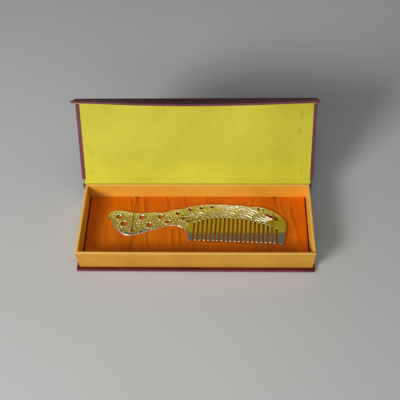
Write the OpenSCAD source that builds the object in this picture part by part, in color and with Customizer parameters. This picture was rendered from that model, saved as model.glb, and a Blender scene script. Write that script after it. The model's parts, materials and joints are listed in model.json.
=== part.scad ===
// Silver hair comb with a feathered handle, tied onto the satin pad of a hinged gift box.
// Millimetres, +Z up, origin at the middle of the base board's underside, the open side towards -Y.

/* [Comb] */
// Thickness of the comb's plate
comb_plate = 1.6; // [1.2:0.1:2.4]
// Height of the raised scales and feather lines over the plate
comb_relief = 0.45; // [0.3:0.05:0.6]
// Number of thin teeth between the two wide guard teeth
thin_teeth = 19; // [15:1:21]
// Distance from one gap between teeth to the next
tooth_pitch = 4.47; // [4.2:0.01:4.5]
// Width of the gap between two teeth
tooth_gap = 1.9; // [1.4:0.1:2.2]
// Thickness of the teeth at their tips
tip_thick = 1; // [0.7:0.1:1.2]
// Distance between neighbouring scales on the handle
scale_pitch = 3.3; // [3:0.1:4.5]
// Turn of the comb on the pad, seen from above
comb_turn = 2.6; // [0:0.1:4]
// Tilt of the comb on the pad, its teeth higher than its back
comb_tilt = 1.8; // [1:0.1:2]

/* [Tray] */
// Outer width of the tray
tray_w = 235; // [232:1:245]
// Outer depth of the tray
tray_d = 86; // [84:0.5:95]
// Outer height of the tray
tray_h = 25.6; // [24:0.1:32]
// Thickness of the tray's walls
wall = 2.4; // [1.8:0.1:2.6]
// Thickness of the tray's floor
floor_t = 2; // [1.5:0.1:2.5]

/* [Cover] */
// Thickness of the base board
base_t = 3.3; // [2.5:0.1:4]
// Thickness of the lid board
lid_t = 2.6; // [2:0.1:3.2]
// Thickness of the spine board and the flap board
thin_board = 2.2; // [1.8:0.1:2.4]
// Thickness of the lining paper
lining_t = 0.5; // [0.4:0.1:0.6]
// Width of the base board and the spine
base_w = 239.2; // [237:0.1:250]
// Width of the lid and the flap
lid_w = 242.4; // [239:0.1:252]
// How far the base board stands out in front of the tray
front_margin = 3.6; // [3:0.1:5]
// Length of the flap from its fold to its free edge
flap_len = 21.5; // [16:0.5:22.5]
// Angle of the lid, 0 when closed
lid_open = 118.9; // [0:0.1:178]
// Angle between the lid and the flap
flap_open = 94.5; // [90:0.5:180]

/* [Pad and ties] */
// Thickness of the pad at its edges
pad_edge = 4.2; // [3.8:0.1:5]
// Height of the pad's crown over its edges
pad_crown = 2.75; // [2.3:0.05:2.8]
// Gap between the pad and the tray's side walls
pad_side_gap = 1.4; // [0.6:0.1:2.5]
// Diameter of the elastic ties
tie_d = 1.1; // [0.8:0.1:1.2]

/* [Hidden] */
$fn = 48;

seat = 0.1;         // gap between pieces that lie on each other
lid_seat = 0.3;     // gap between the closed lid and the tray's rim
fold = 4.5;         // width of the paper fold between two boards
fold_t = 0.8;       // thickness of that fold, two layers of paper
edge_r = 0.8;       // rounding of the wrapped board edges
flap_clear = 2.8;   // space between the closed flap and the tray's front
hinge_set = 0.4;    // how far the hinge line lies behind the tray
spine_room = 1.3;   // space between the spine's top and the hinge line
flap_room = 1;      // how far the boards end before the flap's fold
lining_room = 0.4;  // how far the linings end before the flap's fold
lining_margin = 3;  // border of the cover that shows round the lining

base_d = front_margin + tray_d + seat + thin_board;
tray_y = front_margin - base_d / 2;      // front face of the tray
tray_z = base_t + seat;
rim_z = tray_z + tray_h;
spine_y = tray_y + tray_d + seat;        // front face of the spine board
hinge_y = tray_y + tray_d + hinge_set;
hinge_z = rim_z + lid_seat;
spine_h = hinge_z - spine_room;          // the spine stops under the lid's paper fold
lid_reach = hinge_y - tray_y + flap_clear;

pad_end_gap = 0.3;                       // gap between the pad and the tray's front and back walls
pad_w = tray_w - 2 * wall - 2 * pad_side_gap;
pad_d = tray_d - 2 * wall - 2 * pad_end_gap;
pad_y = tray_y + wall + pad_end_gap;     // front edge of the pad
pad_z = tray_z + floor_t + seat;
pad_steps_x = 20;                        // facets across the pad
notch_w = 2.6;                           // notches that the ties run down in at the pad's edges
notch_d = 1.8;
groove_room = 0.5;                       // space over a tie in its groove under the pad
tie_turn = tie_d / 2 + 0.25;             // centre line of a tie inside the pad's notch and groove
tie_sides = 8;

// The comb's own frame: u runs along the teeth's tips from the first guard tooth, v towards the back.
comb_x = -8;
comb_y = tray_y + 25.4;
comb_z = tray_z + 9.42;
first_gap = 4.8;
last_gap = first_gap + tooth_pitch * thin_teeth;
comb_end = last_gap + 6.9;               // outer edge of the second guard tooth
taper_from = 28;                         // the plate gets thinner from here towards the teeth's tips
relief_sink = 0.3;                       // how deep the relief is rooted in the plate
relief_edge = 2.1;                       // plain border between the scales and the comb's edges
relief_end = -5;                         // the scales stop here, where the teeth begin
row_pitch = 0.87 * scale_pitch;          // distance between two rows of scales
tip_round = 2.2;                         // height of the round end of a tooth

// Back edge of the comb, from the handle's tip to the second guard tooth: [u, v]
back_edge = [
    [-86.2, 25.2], [-84.5, 30.5], [-80.5, 33.4], [-74.2, 34.2], [-65, 32.7], [-58, 32], [-51, 31.7],
    [-44, 33], [-37.5, 33.4], [-31, 33.3], [-24.5, 34.4], [-19.5, 37.2], [-13.5, 38.6], [-8, 39.6],
    [-2, 42.4], [5, 44.2], [12, 45.8], [20, 46.7], [32, 47.1], [44, 47.2], [53, 46.8], [61, 45.6],
    [65, 46], [69.5, 46.1], [78.3, 43.9], [86.3, 40.1], [94, 33.9], [98.6, 27.5], [99.4, 23.5],
    [98.9, 17], [97.9, 9]
];
// Belly edge of the comb, from the first guard tooth to the handle's tip: [u, v]
belly_edge = [
    [-2, 9.3], [-4.3, 12.5], [-8, 15.5], [-14.5, 17.4], [-21.1, 16.9], [-30.1, 13.9], [-42.7, 8.6],
    [-51.5, 4.9], [-58, 3], [-64.5, 3.2], [-69, 5.4], [-72.5, 8], [-77.8, 13], [-80.4, 17.6],
    [-80.4, 20.3], [-83.6, 22]
];
// Arch that the gaps between the teeth reach up to: [u, v]
root_arch = [
    [2, 21.5], [4.8, 22.9], [14, 27.4], [20, 29.6], [30, 30.6], [42, 30.4], [54, 30.1], [62.5, 28.8],
    [71, 26.3], [80, 23.3], [90, 18.8], [96, 16]
];
// Pierced feather eyes: [u, v, length, height, turn]
eyes = [
    [-73.6, 25.4, 7, 4.4, -4], [-67.6, 17.2, 7, 5.4, -8], [-57.4, 9.4, 5.4, 4, 14],
    [-49.7, 26, 6, 4.4, 0], [-41.1, 16.9, 6, 4.8, 12], [-30.4, 27.8, 6, 4.4, 6],
    [-22.3, 21.9, 6.4, 3.2, 16], [-12.9, 33, 4.2, 3.6, 20], [-6.6, 27.2, 5, 2.8, 38],
    [-1.6, 23.6, 3.6, 2.2, 24], [-0.2, 38.6, 4, 3.2, 12], [10.9, 41.3, 3.4, 2.9, 8],
    [22, 43, 3.4, 2.8, 0], [70.6, 42.5, 2.9, 2.3, -10], [75.6, 41.4, 2.1, 1.8, -14]
];
// Long drop-shaped opening near the comb's far end: [u, v, half width]
drop = [
    [76.6, 38.2, 0.3], [78.6, 36.5, 1.1], [81.2, 34.8, 1.7], [84.2, 33, 2.1], [87, 31.4, 2.1],
    [89.4, 30, 1.6], [91.2, 29, 0.7]
];
// Feather lines over the teeth: [u at the start, u at the end, place in the band at the start, at the end].
// The band runs from 0 at the back edge to 1 at the arch of the gaps.
feathers = [
    [26, 60, 0.1, 0.14], [24, 64, 0.2, 0.42], [20, 60, 0.3, 0.62], [14, 54, 0.4, 0.76],
    [10, 44, 0.53, 0.88], [6, 30, 0.68, 0.9], [-6, 17, 0.36, 0.25], [-4, 13, 0.48, 0.36],
    [-1, 10, 0.6, 0.48], [2, 8, 0.74, 0.62],
    [62, 76, 0.2, 0.34], [66, 80, 0.38, 0.52], [66, 86, 0.52, 0.74], [66, 87, 0.68, 0.87],
    [58, 78, 0.78, 0.9]
];
// Cross stitches between the last feather lines: [u, place in the band]
stitches = [
    [68, 0.33], [71, 0.37], [74, 0.41], [70, 0.49], [73, 0.53], [76, 0.56], [79, 0.6],
    [70, 0.66], [73, 0.68], [76, 0.71], [79, 0.74], [82, 0.77]
];
// Height of the pad across its depth: [place from the front edge to the back edge, part of the crown]
pad_profile = [
    [0, 0], [0.03, 0.36], [0.08, 0.68], [0.16, 0.92], [0.26, 1], [0.38, 0.92], [0.5, 0.79],
    [0.65, 0.64], [0.8, 0.49], [0.9, 0.38], [0.96, 0.24], [1, 0]
];

// Routes of the ties over the pad and the comb:
// [x, distance behind the tray's front, height over the pad's underside]
route_left = [
    [-67.4, 4, 5.4], [-67.3, 7, 6.7], [-67.2, 12, 7.3], [-67.1, 18, 7.6], [-67, 24, 8.4], [-66.9, 29.6, 9.8],
    [-66.6, 36, 9.7], [-66.4, 44, 9.5], [-66.2, 52, 9.2], [-66, 61, 8.9], [-65.4, 68, 7.6], [-65, 76, 6.2],
    [-64.7, 81.6, 5.3]
];
route_right = [
    [75.4, 4, 5.4], [75.6, 7, 6.7], [75.9, 12, 7.5], [76.2, 16, 8.4], [76.6, 20.4, 9.9],
    [77.4, 30, 9.9], [78.4, 42, 9.6], [79.4, 54, 9.2], [80.1, 62.6, 8.8], [80.8, 70, 7.2], [81.4, 77, 6],
    [81.8, 81.6, 5.3]
];

function mix(a, b, t) = a + (b - a) * t;
function band(u, g) = mix(lookup(u, back_edge), lookup(u, root_arch), g);
function turned(p, a) = [p[0] * cos(a) - p[1] * sin(a), p[0] * sin(a) + p[1] * cos(a)];
function spline(p0, p1, p2, p3, t) =
    0.5 * (2 * p1 + (p2 - p0) * t + (2 * p0 - 5 * p1 + 4 * p2 - p3) * t * t
           + (3 * p1 - p0 - 3 * p2 + p3) * t * t * t);
function smooth(pts, n) = [
    for (i = [0 : len(pts) - 2], k = [0 : n - 1])
        spline(pts[max(i - 1, 0)], pts[i], pts[i + 1], pts[min(i + 2, len(pts) - 1)], k / n),
    pts[len(pts) - 1]
];
function side_of(pts, i) =
    let (d = pts[min(i + 1, len(pts) - 1)] - pts[max(i - 1, 0)]) [-d[1], d[0]] / norm(d);
function back(list) = [for (i = [len(list) - 1 : -1 : 0]) list[i]];

// A strip along the points, w wide in the middle and thinner towards both ends
function ribbon(pts, w) =
    let (n = len(pts) - 1, half = [for (i = [0 : n]) w / 2 * (0.3 + 0.7 * sin(180 * i / n))])
    concat([for (i = [0 : n]) pts[i] + half[i] * side_of(pts, i)],
           back([for (i = [0 : n]) pts[i] - half[i] * side_of(pts, i)]));

// The drop form of a feather eye, its point towards +u before it is turned
function eye_shape(e, grow) = [
    for (a = [0 : 24 : 336])
        [e[0], e[1]] + turned([(e[2] / 2 + grow) * (cos(a) - 0.12 * cos(2 * a)),
                               (e[3] / 2 + grow) * (sin(a) - 0.32 * sin(2 * a))], e[4])
];
function in_eye(p, e, room) =
    norm([(p[0] - e[0]) / (e[2] / 2 + room), (p[1] - e[1]) / (e[3] / 2 + room)]) < 1;
function near_eye(p, room) = len([for (e = eyes) if (in_eye(p, e, room)) e]) > 0;

// Whether a scale at this point lies on the handle or the front of the comb's back, clear of their edges
function on_handle(p) =
    p[0] > back_edge[1][0] && p[0] < relief_end
    && p[1] > lookup(p[0], belly_edge) + relief_edge && p[1] < lookup(p[0], back_edge) - relief_edge
    && (p[0] < belly_edge[2][0] - relief_edge || p[1] > root_arch[0][1] - relief_edge);

// One gap between two teeth, u measured from its middle: it flares at the tips so that the teeth end round
function gap_side(root, lean) =
    let (h = tooth_gap / 2, tip = (tooth_pitch - tooth_gap) / 2 + 0.1)
    concat([[h, root - h]],
           [for (a = [0 : 18 : 90]) [h + lean + tip * (1 - cos(a)), tip_round - (tip_round - 0.4) * sin(a)]],
           [[h + lean + tip, -tip_round]]);

// One side of the drop-shaped opening: its points from the middle line, s is 1 or -1
function drop_side(s) =
    let (middle = [for (d = drop) [d[0], d[1]]])
    [for (i = [0 : len(drop) - 1]) middle[i] + s * drop[i][2] * side_of(middle, i)];

module guide_lid() {
    translate([0, hinge_y, hinge_z]) rotate([-lid_open, 0, 0]) children();
}

module guide_flap() {
    guide_lid() translate([0, -lid_reach, 0]) rotate([90 - flap_open, 0, 0]) children();
}

// A wrapped board, its long edges rounded, from the corner at the smallest y and z
module board(w, d, t) {
    r = min(edge_r, t / 2 - 0.1);
    translate([-w / 2, 0, 0]) rotate([90, 0, 90]) linear_extrude(w) {
        translate([r, 0]) square([d - 2 * r, t]);
        translate([0, r]) square([d, t - 2 * r]);
        for (y = [r, d - r], z = [r, t - r]) translate([y, z]) circle(r);
    }
}

module base_board() {
    color([0.42, 0.13, 0.12]) translate([0, -base_d / 2, 0])
        board(base_w, base_d - thin_board - seat, base_t);
}

module spine_board() {
    color([0.42, 0.13, 0.12]) translate([0, spine_y, 0]) board(base_w, thin_board, spine_h);
}

module tray() {
    color([0.86, 0.58, 0.22]) difference() {
        translate([-tray_w / 2, tray_y, tray_z]) cube([tray_w, tray_d, tray_h]);
        translate([wall - tray_w / 2, tray_y + wall, tray_z + floor_t])
            cube([tray_w - 2 * wall, tray_d - 2 * wall, tray_h]);
    }
}

// The satin pad: crowned on top, highest under the comb's teeth, and notched where the ties go round it
module pad() {
    rows = len(pad_profile);
    cols = pad_steps_x + 1;
    top = [
        for (r = pad_profile, i = [0 : pad_steps_x])
            let (s = -cos(180 * i / pad_steps_x))
            [s * pad_w / 2, pad_y + r[0] * pad_d,
             pad_z + pad_edge + pad_crown * r[1] * (1 - pow(abs(s), 8))]
    ];
    low = [for (p = top) [p[0], p[1], pad_z]];
    middle = [0, pad_y + pad_d / 2, pad_z];
    n = rows * cols;
    rim = concat([for (c = [0 : cols - 1]) c], [for (r = [1 : rows - 1]) r * cols + cols - 1],
                 [for (c = [cols - 2 : -1 : 0]) n - cols + c], [for (r = [rows - 2 : -1 : 1]) r * cols]);
    faces = concat(
        [for (r = [0 : rows - 2], c = [0 : cols - 2]) let (a = r * cols + c) [a, a + cols, a + cols + 1]],
        [for (r = [0 : rows - 2], c = [0 : cols - 2]) let (a = r * cols + c) [a, a + cols + 1, a + 1]],
        [for (i = [0 : len(rim) - 1]) let (a = rim[i], b = rim[(i + 1) % len(rim)]) [a, b, b + n, a + n]],
        [for (i = [0 : len(rim) - 1]) [rim[i] + n, rim[(i + 1) % len(rim)] + n, 2 * n]]
    );
    color([0.78, 0.34, 0.04]) difference() {
        polyhedron(concat(top, low, [middle]), faces);
        tie_channel(route_left);
        tie_channel(route_right);
    }
}

// The channel that a tie runs in: a notch in the pad's front edge, one in its back edge, a groove under it
module tie_channel(route) {
    front = route[0][0];
    rear = route[len(route) - 1][0];
    over = 3;
    low = pad_z - over;
    groove = pad_z + tie_d + groove_room;
    high = pad_z + pad_edge + pad_crown + over;
    translate([front, pad_y, 0]) rotate([0, 0, -atan((rear - front) / pad_d)]) rotate([90, 0, 90])
        linear_extrude(notch_w, center = true)
            polygon([[-over, low], [pad_d + over, low], [pad_d + over, high], [pad_d - notch_d, high],
                     [pad_d - notch_d, groove], [notch_d, groove], [notch_d, high], [-over, high]]);
}

// The comb's flat form: the outline less the gaps between the teeth and the pierced eyes
module comb_form() {
    end = comb_end;
    outline = concat([[0, 0.6], [-0.9, 5]], smooth(concat(belly_edge, back_edge), 3),
                     [[end + 0.2, 3], [end - 0.4, 0.3], [end - 1.4, -0.4], [end - 4, -0.4], [end - 4.6, 0.2],
                      [3.6, 0.2], [3, -0.2], [0.8, -0.2]]);
    difference() {
        polygon(outline);
        for (i = [0 : thin_teeth]) {
            u = first_gap + i * tooth_pitch;
            root = lookup(u, root_arch);
            lean = i == thin_teeth ? 0.7 : 0;
            left = [for (p = gap_side(root, 0)) [-p[0], p[1]]];
            translate([u, 0]) polygon(concat(back(left), gap_side(root, lean)));
            translate([u, root - tooth_gap / 2]) circle(tooth_gap / 2, $fn = 16);
        }
        for (e = eyes) polygon(eye_shape(e, 0));
        polygon(concat(drop_side(1), back(drop_side(-1))));
    }
}

// A curled scale: three quarters of a small ring, its back towards the handle's tip
module curl(p, r) {
    arc = [for (a = [60 : 40 : 300]) p + r * [cos(a), sin(a)]];
    polygon(ribbon(arc, 0.95));
}

module comb_relief() {
    first = [-84, 3];
    for (u = [first[0] : scale_pitch : relief_end], j = [0 : 12]) {
        p = [u + (j % 2) / 2 * scale_pitch, first[1] + j * row_pitch];
        if (on_handle(p) && !near_eye(p, 2.6))
            raised() curl(p, scale_pitch * 0.31);
    }
    for (e = eyes) {
        rim = eye_shape(e, 0.75);
        raised() polygon(ribbon([for (i = [2 : len(rim) - 2]) rim[i]], 0.7));
    }
    for (f = feathers) {
        steps = [for (k = [0 : 8]) [mix(f[0], f[1], k / 8), mix(f[2], f[3], k / 8)]];
        raised() polygon(ribbon([for (s = steps) [s[0], band(s[0], s[1])]], 0.8));
    }
    for (s = stitches)
        raised() translate([s[0], band(s[0], s[1])]) rotate(35) square([1.5, 0.5], center = true);
}

// A flat form raised over the comb's plate and rooted in it
module raised() {
    translate([0, 0, comb_plate - relief_sink]) linear_extrude(relief_sink + comb_relief) children();
}

// One casting: plate, teeth, and the raised scales and feather lines on its upper side
module comb() {
    taper = atan((comb_plate - tip_thick) / taper_from);
    over = 5;
    color([0.78, 0.77, 0.74])
        translate([comb_x, comb_y, comb_z]) rotate([-comb_tilt, 0, 0]) rotate([0, 0, -comb_turn])
            difference() {
                union() {
                    linear_extrude(comb_plate) offset(delta = 0.001) comb_form();
                    comb_relief();
                }
                translate([-over, taper_from, 0]) rotate([-taper, 0, 0])
                    translate([0, -taper_from - over, -over])
                        cube([comb_end + 2 * over, taper_from + over, over]);
            }
}

// A tie: one closed loop of round cord over the pad and the comb, and back under the pad
module tie(route) {
    n = len(route);
    front = route[0][0];
    rear = route[n - 1][0];
    y0 = pad_y + tie_turn;
    y1 = pad_y + pad_d - tie_turn;
    // from the pad's top round an edge to its underside: [distance inwards, height over the underside]
    bend = [[0.1, 4.4], [0, 3.2], [0.1, 1.5], [0.9, tie_turn]];
    under = concat([for (b = bend) [rear, y1 - b[0], b[1]]],
                   [[mix(rear, front, 0.5), 0, tie_turn]],
                   back([for (b = bend) [front, y0 + b[0], b[1]]]));
    line = [for (p = concat([for (r = route) [r[0], tray_y + r[1], r[2]]], under)) p + [0, 0, pad_z]];
    m = len(line);
    rings = [
        for (i = [0 : m - 1])
            let (d = line[(i + 1) % m] - line[(i + m - 1) % m],
                 out = cross([1, 0, 0], d) / norm(cross([1, 0, 0], d)),
                 x = cross(d, out) / norm(d))
            for (a = [0 : 360 / tie_sides : 359]) line[i] + tie_d / 2 * (cos(a) * x + sin(a) * out)
    ];
    faces = [
        for (i = [0 : m - 1], k = [0 : tie_sides - 1])
            let (a = i * tie_sides, b = ((i + 1) % m) * tie_sides, q = (k + 1) % tie_sides)
            [a + k, a + q, b + q, b + k]
    ];
    color([0.6, 0.5, 0.16]) polyhedron(rings, faces);
}

module tie_left() {
    tie(route_left);
}

module tie_right() {
    tie(route_right);
}

module lid_board() {
    color([0.42, 0.13, 0.12]) guide_lid()
        translate([0, -lid_reach + flap_room, lining_t + seat])
            board(lid_w, lid_reach - flap_room - fold, lid_t);
}

module lid_lining() {
    color([0.8, 0.75, 0.22]) guide_lid()
        translate([-lid_w / 2 + lining_margin, -lid_reach + lining_room, 0])
            cube([lid_w - 2 * lining_margin, lid_reach - lining_room - fold - 2 * seat, lining_t]);
}

// The paper fold that carries the lid along the top of the spine
module lid_strip() {
    color([0.8, 0.75, 0.22]) guide_lid()
        translate([-base_w / 2 + fold_t, -fold - seat, 0])
            cube([base_w - 2 * fold_t, fold - 3 * seat, fold_t]);
}

module flap_board() {
    color([0.42, 0.13, 0.12]) guide_flap()
        translate([0, -lining_t - seat, -flap_len]) rotate([90, 0, 0])
            board(lid_w, flap_len - flap_room, thin_board);
}

module flap_lining() {
    color([0.8, 0.75, 0.22]) guide_flap()
        translate([-lid_w / 2 + lining_margin, -lining_t, -flap_len + 3 * lining_room])
            cube([lid_w - 2 * lining_margin, lining_t, flap_len - 4 * lining_room]);
}

base_board();
spine_board();
tray();
pad();
comb();
tie_left();
tie_right();
lid_board();
lid_lining();
lid_strip();
flap_board();
flap_lining();
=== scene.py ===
import json
import math
import random

import bmesh
import bpy
import numpy as np
from mathutils import Matrix, Vector
from mathutils.geometry import delaunay_2d_cdt


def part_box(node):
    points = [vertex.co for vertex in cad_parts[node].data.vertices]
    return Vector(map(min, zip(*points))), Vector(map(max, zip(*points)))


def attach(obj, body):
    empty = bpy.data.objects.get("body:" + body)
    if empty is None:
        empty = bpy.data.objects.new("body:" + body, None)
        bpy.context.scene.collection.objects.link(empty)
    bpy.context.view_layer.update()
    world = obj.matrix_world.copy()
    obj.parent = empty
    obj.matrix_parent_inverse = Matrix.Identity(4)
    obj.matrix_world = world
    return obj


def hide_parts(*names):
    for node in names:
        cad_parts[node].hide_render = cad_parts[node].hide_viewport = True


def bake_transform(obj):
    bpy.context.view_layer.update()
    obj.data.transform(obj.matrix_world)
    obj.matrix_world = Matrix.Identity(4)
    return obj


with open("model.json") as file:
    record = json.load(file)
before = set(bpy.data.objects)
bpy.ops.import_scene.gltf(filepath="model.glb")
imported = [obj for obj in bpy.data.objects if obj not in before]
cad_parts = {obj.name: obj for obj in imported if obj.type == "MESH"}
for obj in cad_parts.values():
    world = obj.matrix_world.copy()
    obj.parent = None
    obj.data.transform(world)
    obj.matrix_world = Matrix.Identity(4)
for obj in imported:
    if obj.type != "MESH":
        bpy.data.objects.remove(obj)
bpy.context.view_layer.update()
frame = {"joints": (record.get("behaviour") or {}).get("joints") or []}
trayLow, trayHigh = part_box("tray")
mm = 0.001
print("frame loaded")


# Camera, floor and lights

cameraView = {
    "lens": 63.76,  # millimetres
    "sensor": 36,
    "place": (30.0, -406.35, 620.9),  # millimetres
    "down": 54.0,  # degrees below the horizon
    "turn": 3.512,  # degrees to the left
    "roll": 2.765,
}
studio = {
    "floorSize": 6.0,
    "floorColour": (0.66, 0.655, 0.64),
    "surround": (0.02, 0.026, 0.028),
    # name: where it hangs, the height over the floor's middle that it points at, size, watts, colour
    "lamps": {
        "keyLamp": ((-1.0, -1.0, 0.84), 0.02, (0.6, 0.5), 18.5, (1, 1, 1)),
        "frontLamp": ((-0.3, -1.3, 0.95), 0.02, (1.0, 0.26), 3.6, (1, 1, 1)),
        "topLamp": ((0.25, -0.25, 1.5), 0.02, (1.2, 0.7), 3.4, (1, 1, 1)),
        "backLamp": ((-0.5, 1.1, 0.9), 0.05, (0.7, 0.4), 0.5, (1, 1, 1)),
        # a dim grey sheet over the lid, which the ends of the teeth mirror
        "greyCard": ((0.0, 0.75, 1.3), 0.02, (1.8, 0.8), 0.5, (0.6, 0.8, 1.0)),
    },
}


def addObject(name, data):
    made = bpy.data.objects.new(name, data)
    bpy.context.scene.collection.objects.link(made)
    return made


def makeCamera():
    down, turn, roll = (math.radians(cameraView[key]) for key in ("down", "turn", "roll"))
    ahead = Vector((-math.sin(turn) * math.cos(down), math.cos(turn) * math.cos(down), -math.sin(down)))
    side = Vector((math.cos(turn), math.sin(turn), 0))
    up = side.cross(ahead)
    sideTurned = math.cos(roll) * side - math.sin(roll) * up
    upTurned = math.sin(roll) * side + math.cos(roll) * up
    made = addObject("camera", bpy.data.cameras.new("camera"))
    made.data.lens = cameraView["lens"]
    made.data.sensor_width = cameraView["sensor"]
    made.data.clip_start = 0.01
    turned = Matrix((sideTurned, upTurned, -ahead)).transposed()
    made.matrix_world = Matrix.Translation(Vector(cameraView["place"]) * mm) @ turned.to_4x4()
    bpy.context.scene.camera = made


def makeLamps():
    for name, (place, aim, size, watts, colour) in studio["lamps"].items():
        lamp = bpy.data.lights.new(name, "AREA")
        lamp.shape = "RECTANGLE"
        lamp.size, lamp.size_y = size
        lamp.energy = watts
        lamp.color = colour
        made = addObject(name, lamp)
        made.location = place
        made.rotation_euler = (Vector((0, 0, aim)) - Vector(place)).to_track_quat("-Z", "Y").to_euler()
    world = bpy.data.worlds.new("surround")
    world.use_nodes = True
    world.node_tree.nodes["Background"].inputs["Color"].default_value = (*studio["surround"], 1)
    bpy.context.scene.world = world


# Small helpers

def smoothstep(low, high, value):
    t = min(max((value - low) / (high - low), 0.0), 1.0)
    return t * t * (3 - 2 * t)


def curvePoint(a, b, c, d, t):
    # a smooth curve from b to c, with a before them and d after them
    bend = (2 * a - 5 * b + 4 * c - d) * t * t + (3 * b - a - 3 * c + d) * t ** 3
    return 0.5 * (2 * b + (c - a) * t + bend)


def smoothLine(points, steps):
    # a curve through all the points, with this many steps from one to the next
    points = [np.array(p, float) for p in points]
    ends = [points[0]] + points + [points[-1]]
    made = [curvePoint(*ends[i:i + 4], k / steps) for i in range(len(points) - 1) for k in range(steps)]
    return np.array(made + [points[-1]])


def meshObject(name, points, faces):
    data = bpy.data.meshes.new(name)
    data.from_pydata([tuple(p) for p in points], [], faces)
    data.update()
    return addObject(name, data)


def formObject(name, form):
    data = bpy.data.meshes.new(name)
    form.to_mesh(data)
    form.free()
    return addObject(name, data)


def gridFaces(wide, deep, start=0):
    # quads of a grid of vertices that is this many wide and deep
    return [(a, a + 1, a + wide + 1, a + wide)
            for r in range(deep - 1) for a in range(start + r * wide, start + r * wide + wide - 1)]


def gridRim(wide, deep):
    # the grid's border, once round
    made = list(range(wide)) + [r * wide + wide - 1 for r in range(1, deep)]
    made += [(deep - 1) * wide + c for c in range(wide - 2, -1, -1)]
    return made + [r * wide for r in range(deep - 2, 0, -1)]


def ringFaces(rings):
    # quads between closed rings of vertices
    return [(near[k - 1], far[k - 1], far[k], near[k]) for near, far in zip(rings, rings[1:])
            for k in range(len(near))]


def circle(middle, radius, count, start=0.0):
    # points once round, as (x, y)
    turns = [start + 2 * math.pi * k / count for k in range(count)]
    return [(middle[0] + radius * math.cos(a), middle[1] + radius * math.sin(a)) for a in turns]


def turned(x, y, degrees):
    c, s = math.cos(math.radians(degrees)), math.sin(math.radians(degrees))
    return x * c - y * s, x * s + y * c


def along(table, u):
    return np.interp(u, [p[0] for p in table], [p[1] for p in table])


def fixNormals(piece, weld=0):
    form = bmesh.new()
    form.from_mesh(piece.data)
    if weld:
        bmesh.ops.remove_doubles(form, verts=form.verts, dist=weld)
    bmesh.ops.recalc_face_normals(form, faces=form.faces)
    form.to_mesh(piece.data)
    form.free()


def shadeSmooth(piece, weighted=True):
    for face in piece.data.polygons:
        face.use_smooth = True
    if weighted:
        piece.modifiers.new("evenNormals", "WEIGHTED_NORMAL").keep_sharp = True
        done = piece.evaluated_get(bpy.context.evaluated_depsgraph_get())
        data = bpy.data.meshes.new_from_object(done)
        piece.modifiers.clear()
        piece.data = data


def place(piece, body, slot, material, stands=()):
    piece.data.materials.clear()
    piece.data.materials.append(material)
    if body:
        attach(piece, body)
    if stands:
        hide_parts(*stands)
    return piece


# Materials

def newMaterial(name):
    made = bpy.data.materials.new(name)
    made.use_nodes = True
    return made, made.node_tree.nodes["Principled BSDF"]


def fillNode(material, node, **inputs):
    # an input is given by its name without spaces, as a value or as another node's output
    for key, value in inputs.items():
        socket = next(s for s in node.inputs if s.name.replace(" ", "") == key and s.enabled)
        if isinstance(value, bpy.types.NodeSocket):
            material.node_tree.links.new(value, socket)
        else:
            socket.default_value = value


def addNode(material, kind, settings=None, **inputs):
    made = material.node_tree.nodes.new(kind)
    for key, value in (settings or {}).items():
        setattr(made, key, value)
    fillNode(material, made, **inputs)
    return made


def mathNode(material, operation, *inputs):
    made = addNode(material, "ShaderNodeMath", {"operation": operation})
    for socket, value in zip(made.inputs, inputs):
        if isinstance(value, bpy.types.NodeSocket):
            material.node_tree.links.new(value, socket)
        else:
            socket.default_value = value
    return made.outputs["Value"]


def spread(material, value, low, high, toLow=0.0, toHigh=1.0, soft=False):
    # from one range of values to another
    settings = {"interpolation_type": "SMOOTHSTEP"} if soft else {}
    made = addNode(material, "ShaderNodeMapRange", settings, Value=value, FromMin=low, FromMax=high,
                   ToMin=toLow, ToMax=toHigh)
    return made.outputs["Result"]


def tinted(material, colour, share, tint, how="MIX"):
    made = addNode(material, "ShaderNodeMix", {"data_type": "RGBA", "blend_type": how}, Factor=share,
                   A=colour, B=(*tint, 1))
    return next(s for s in made.outputs if s.enabled)


def colourRamp(material, factor, look, **stops):
    # stops: a colour's name in the look, and its place on the ramp
    made = addNode(material, "ShaderNodeValToRGB", Fac=factor)
    ramp = made.color_ramp
    while len(ramp.elements) < len(stops):
        ramp.elements.new(0.5)
    for element, (name, position) in zip(ramp.elements, stops.items()):
        element.position = position
        element.color = (*look[name], 1)
    return made.outputs["Color"]


def objectPlace(material):
    return addNode(material, "ShaderNodeTexCoord").outputs["Object"]


def stretched(material, source, scale):
    return addNode(material, "ShaderNodeMapping", Vector=source, Scale=scale).outputs["Vector"]


def noiseValue(material, source, scale, detail=3.0, roughness=0.5):
    made = addNode(material, "ShaderNodeTexNoise", Vector=source, Scale=scale, Detail=detail,
                   Roughness=roughness)
    return made.outputs["Fac"]


def addBump(material, height, strength, depth, under=None):
    made = addNode(material, "ShaderNodeBump", Height=height, Strength=strength, Distance=depth)
    if under is not None:
        material.node_tree.links.new(under, made.inputs["Normal"])
    return made.outputs["Normal"]


coverLook = {
    "dark": (0.055, 0.005, 0.005),
    "mid": (0.13, 0.012, 0.01),
    "light": (0.2, 0.027, 0.022),
    "grainSize": 1.1,  # millimetres
    "grainDepth": 0.12,
    "roughness": 0.42,
    "gloss": 0.1,
    "coat": 0.03,
    "sheen": 0.01,
    "sheenTint": (0.8, 0.55, 1.0),
}
# the same paper made lighter and pinker on the boards' edges and the turned-in strips: partly wear, partly a
# painted sheen where they catch the light
edgeWearAndSheenLook = {
    "dark": (0.12, 0.03, 0.04), "mid": (0.185, 0.045, 0.06), "light": (0.25, 0.068, 0.09),
    "gloss": 0.2, "sheen": 0.1,
}


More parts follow.
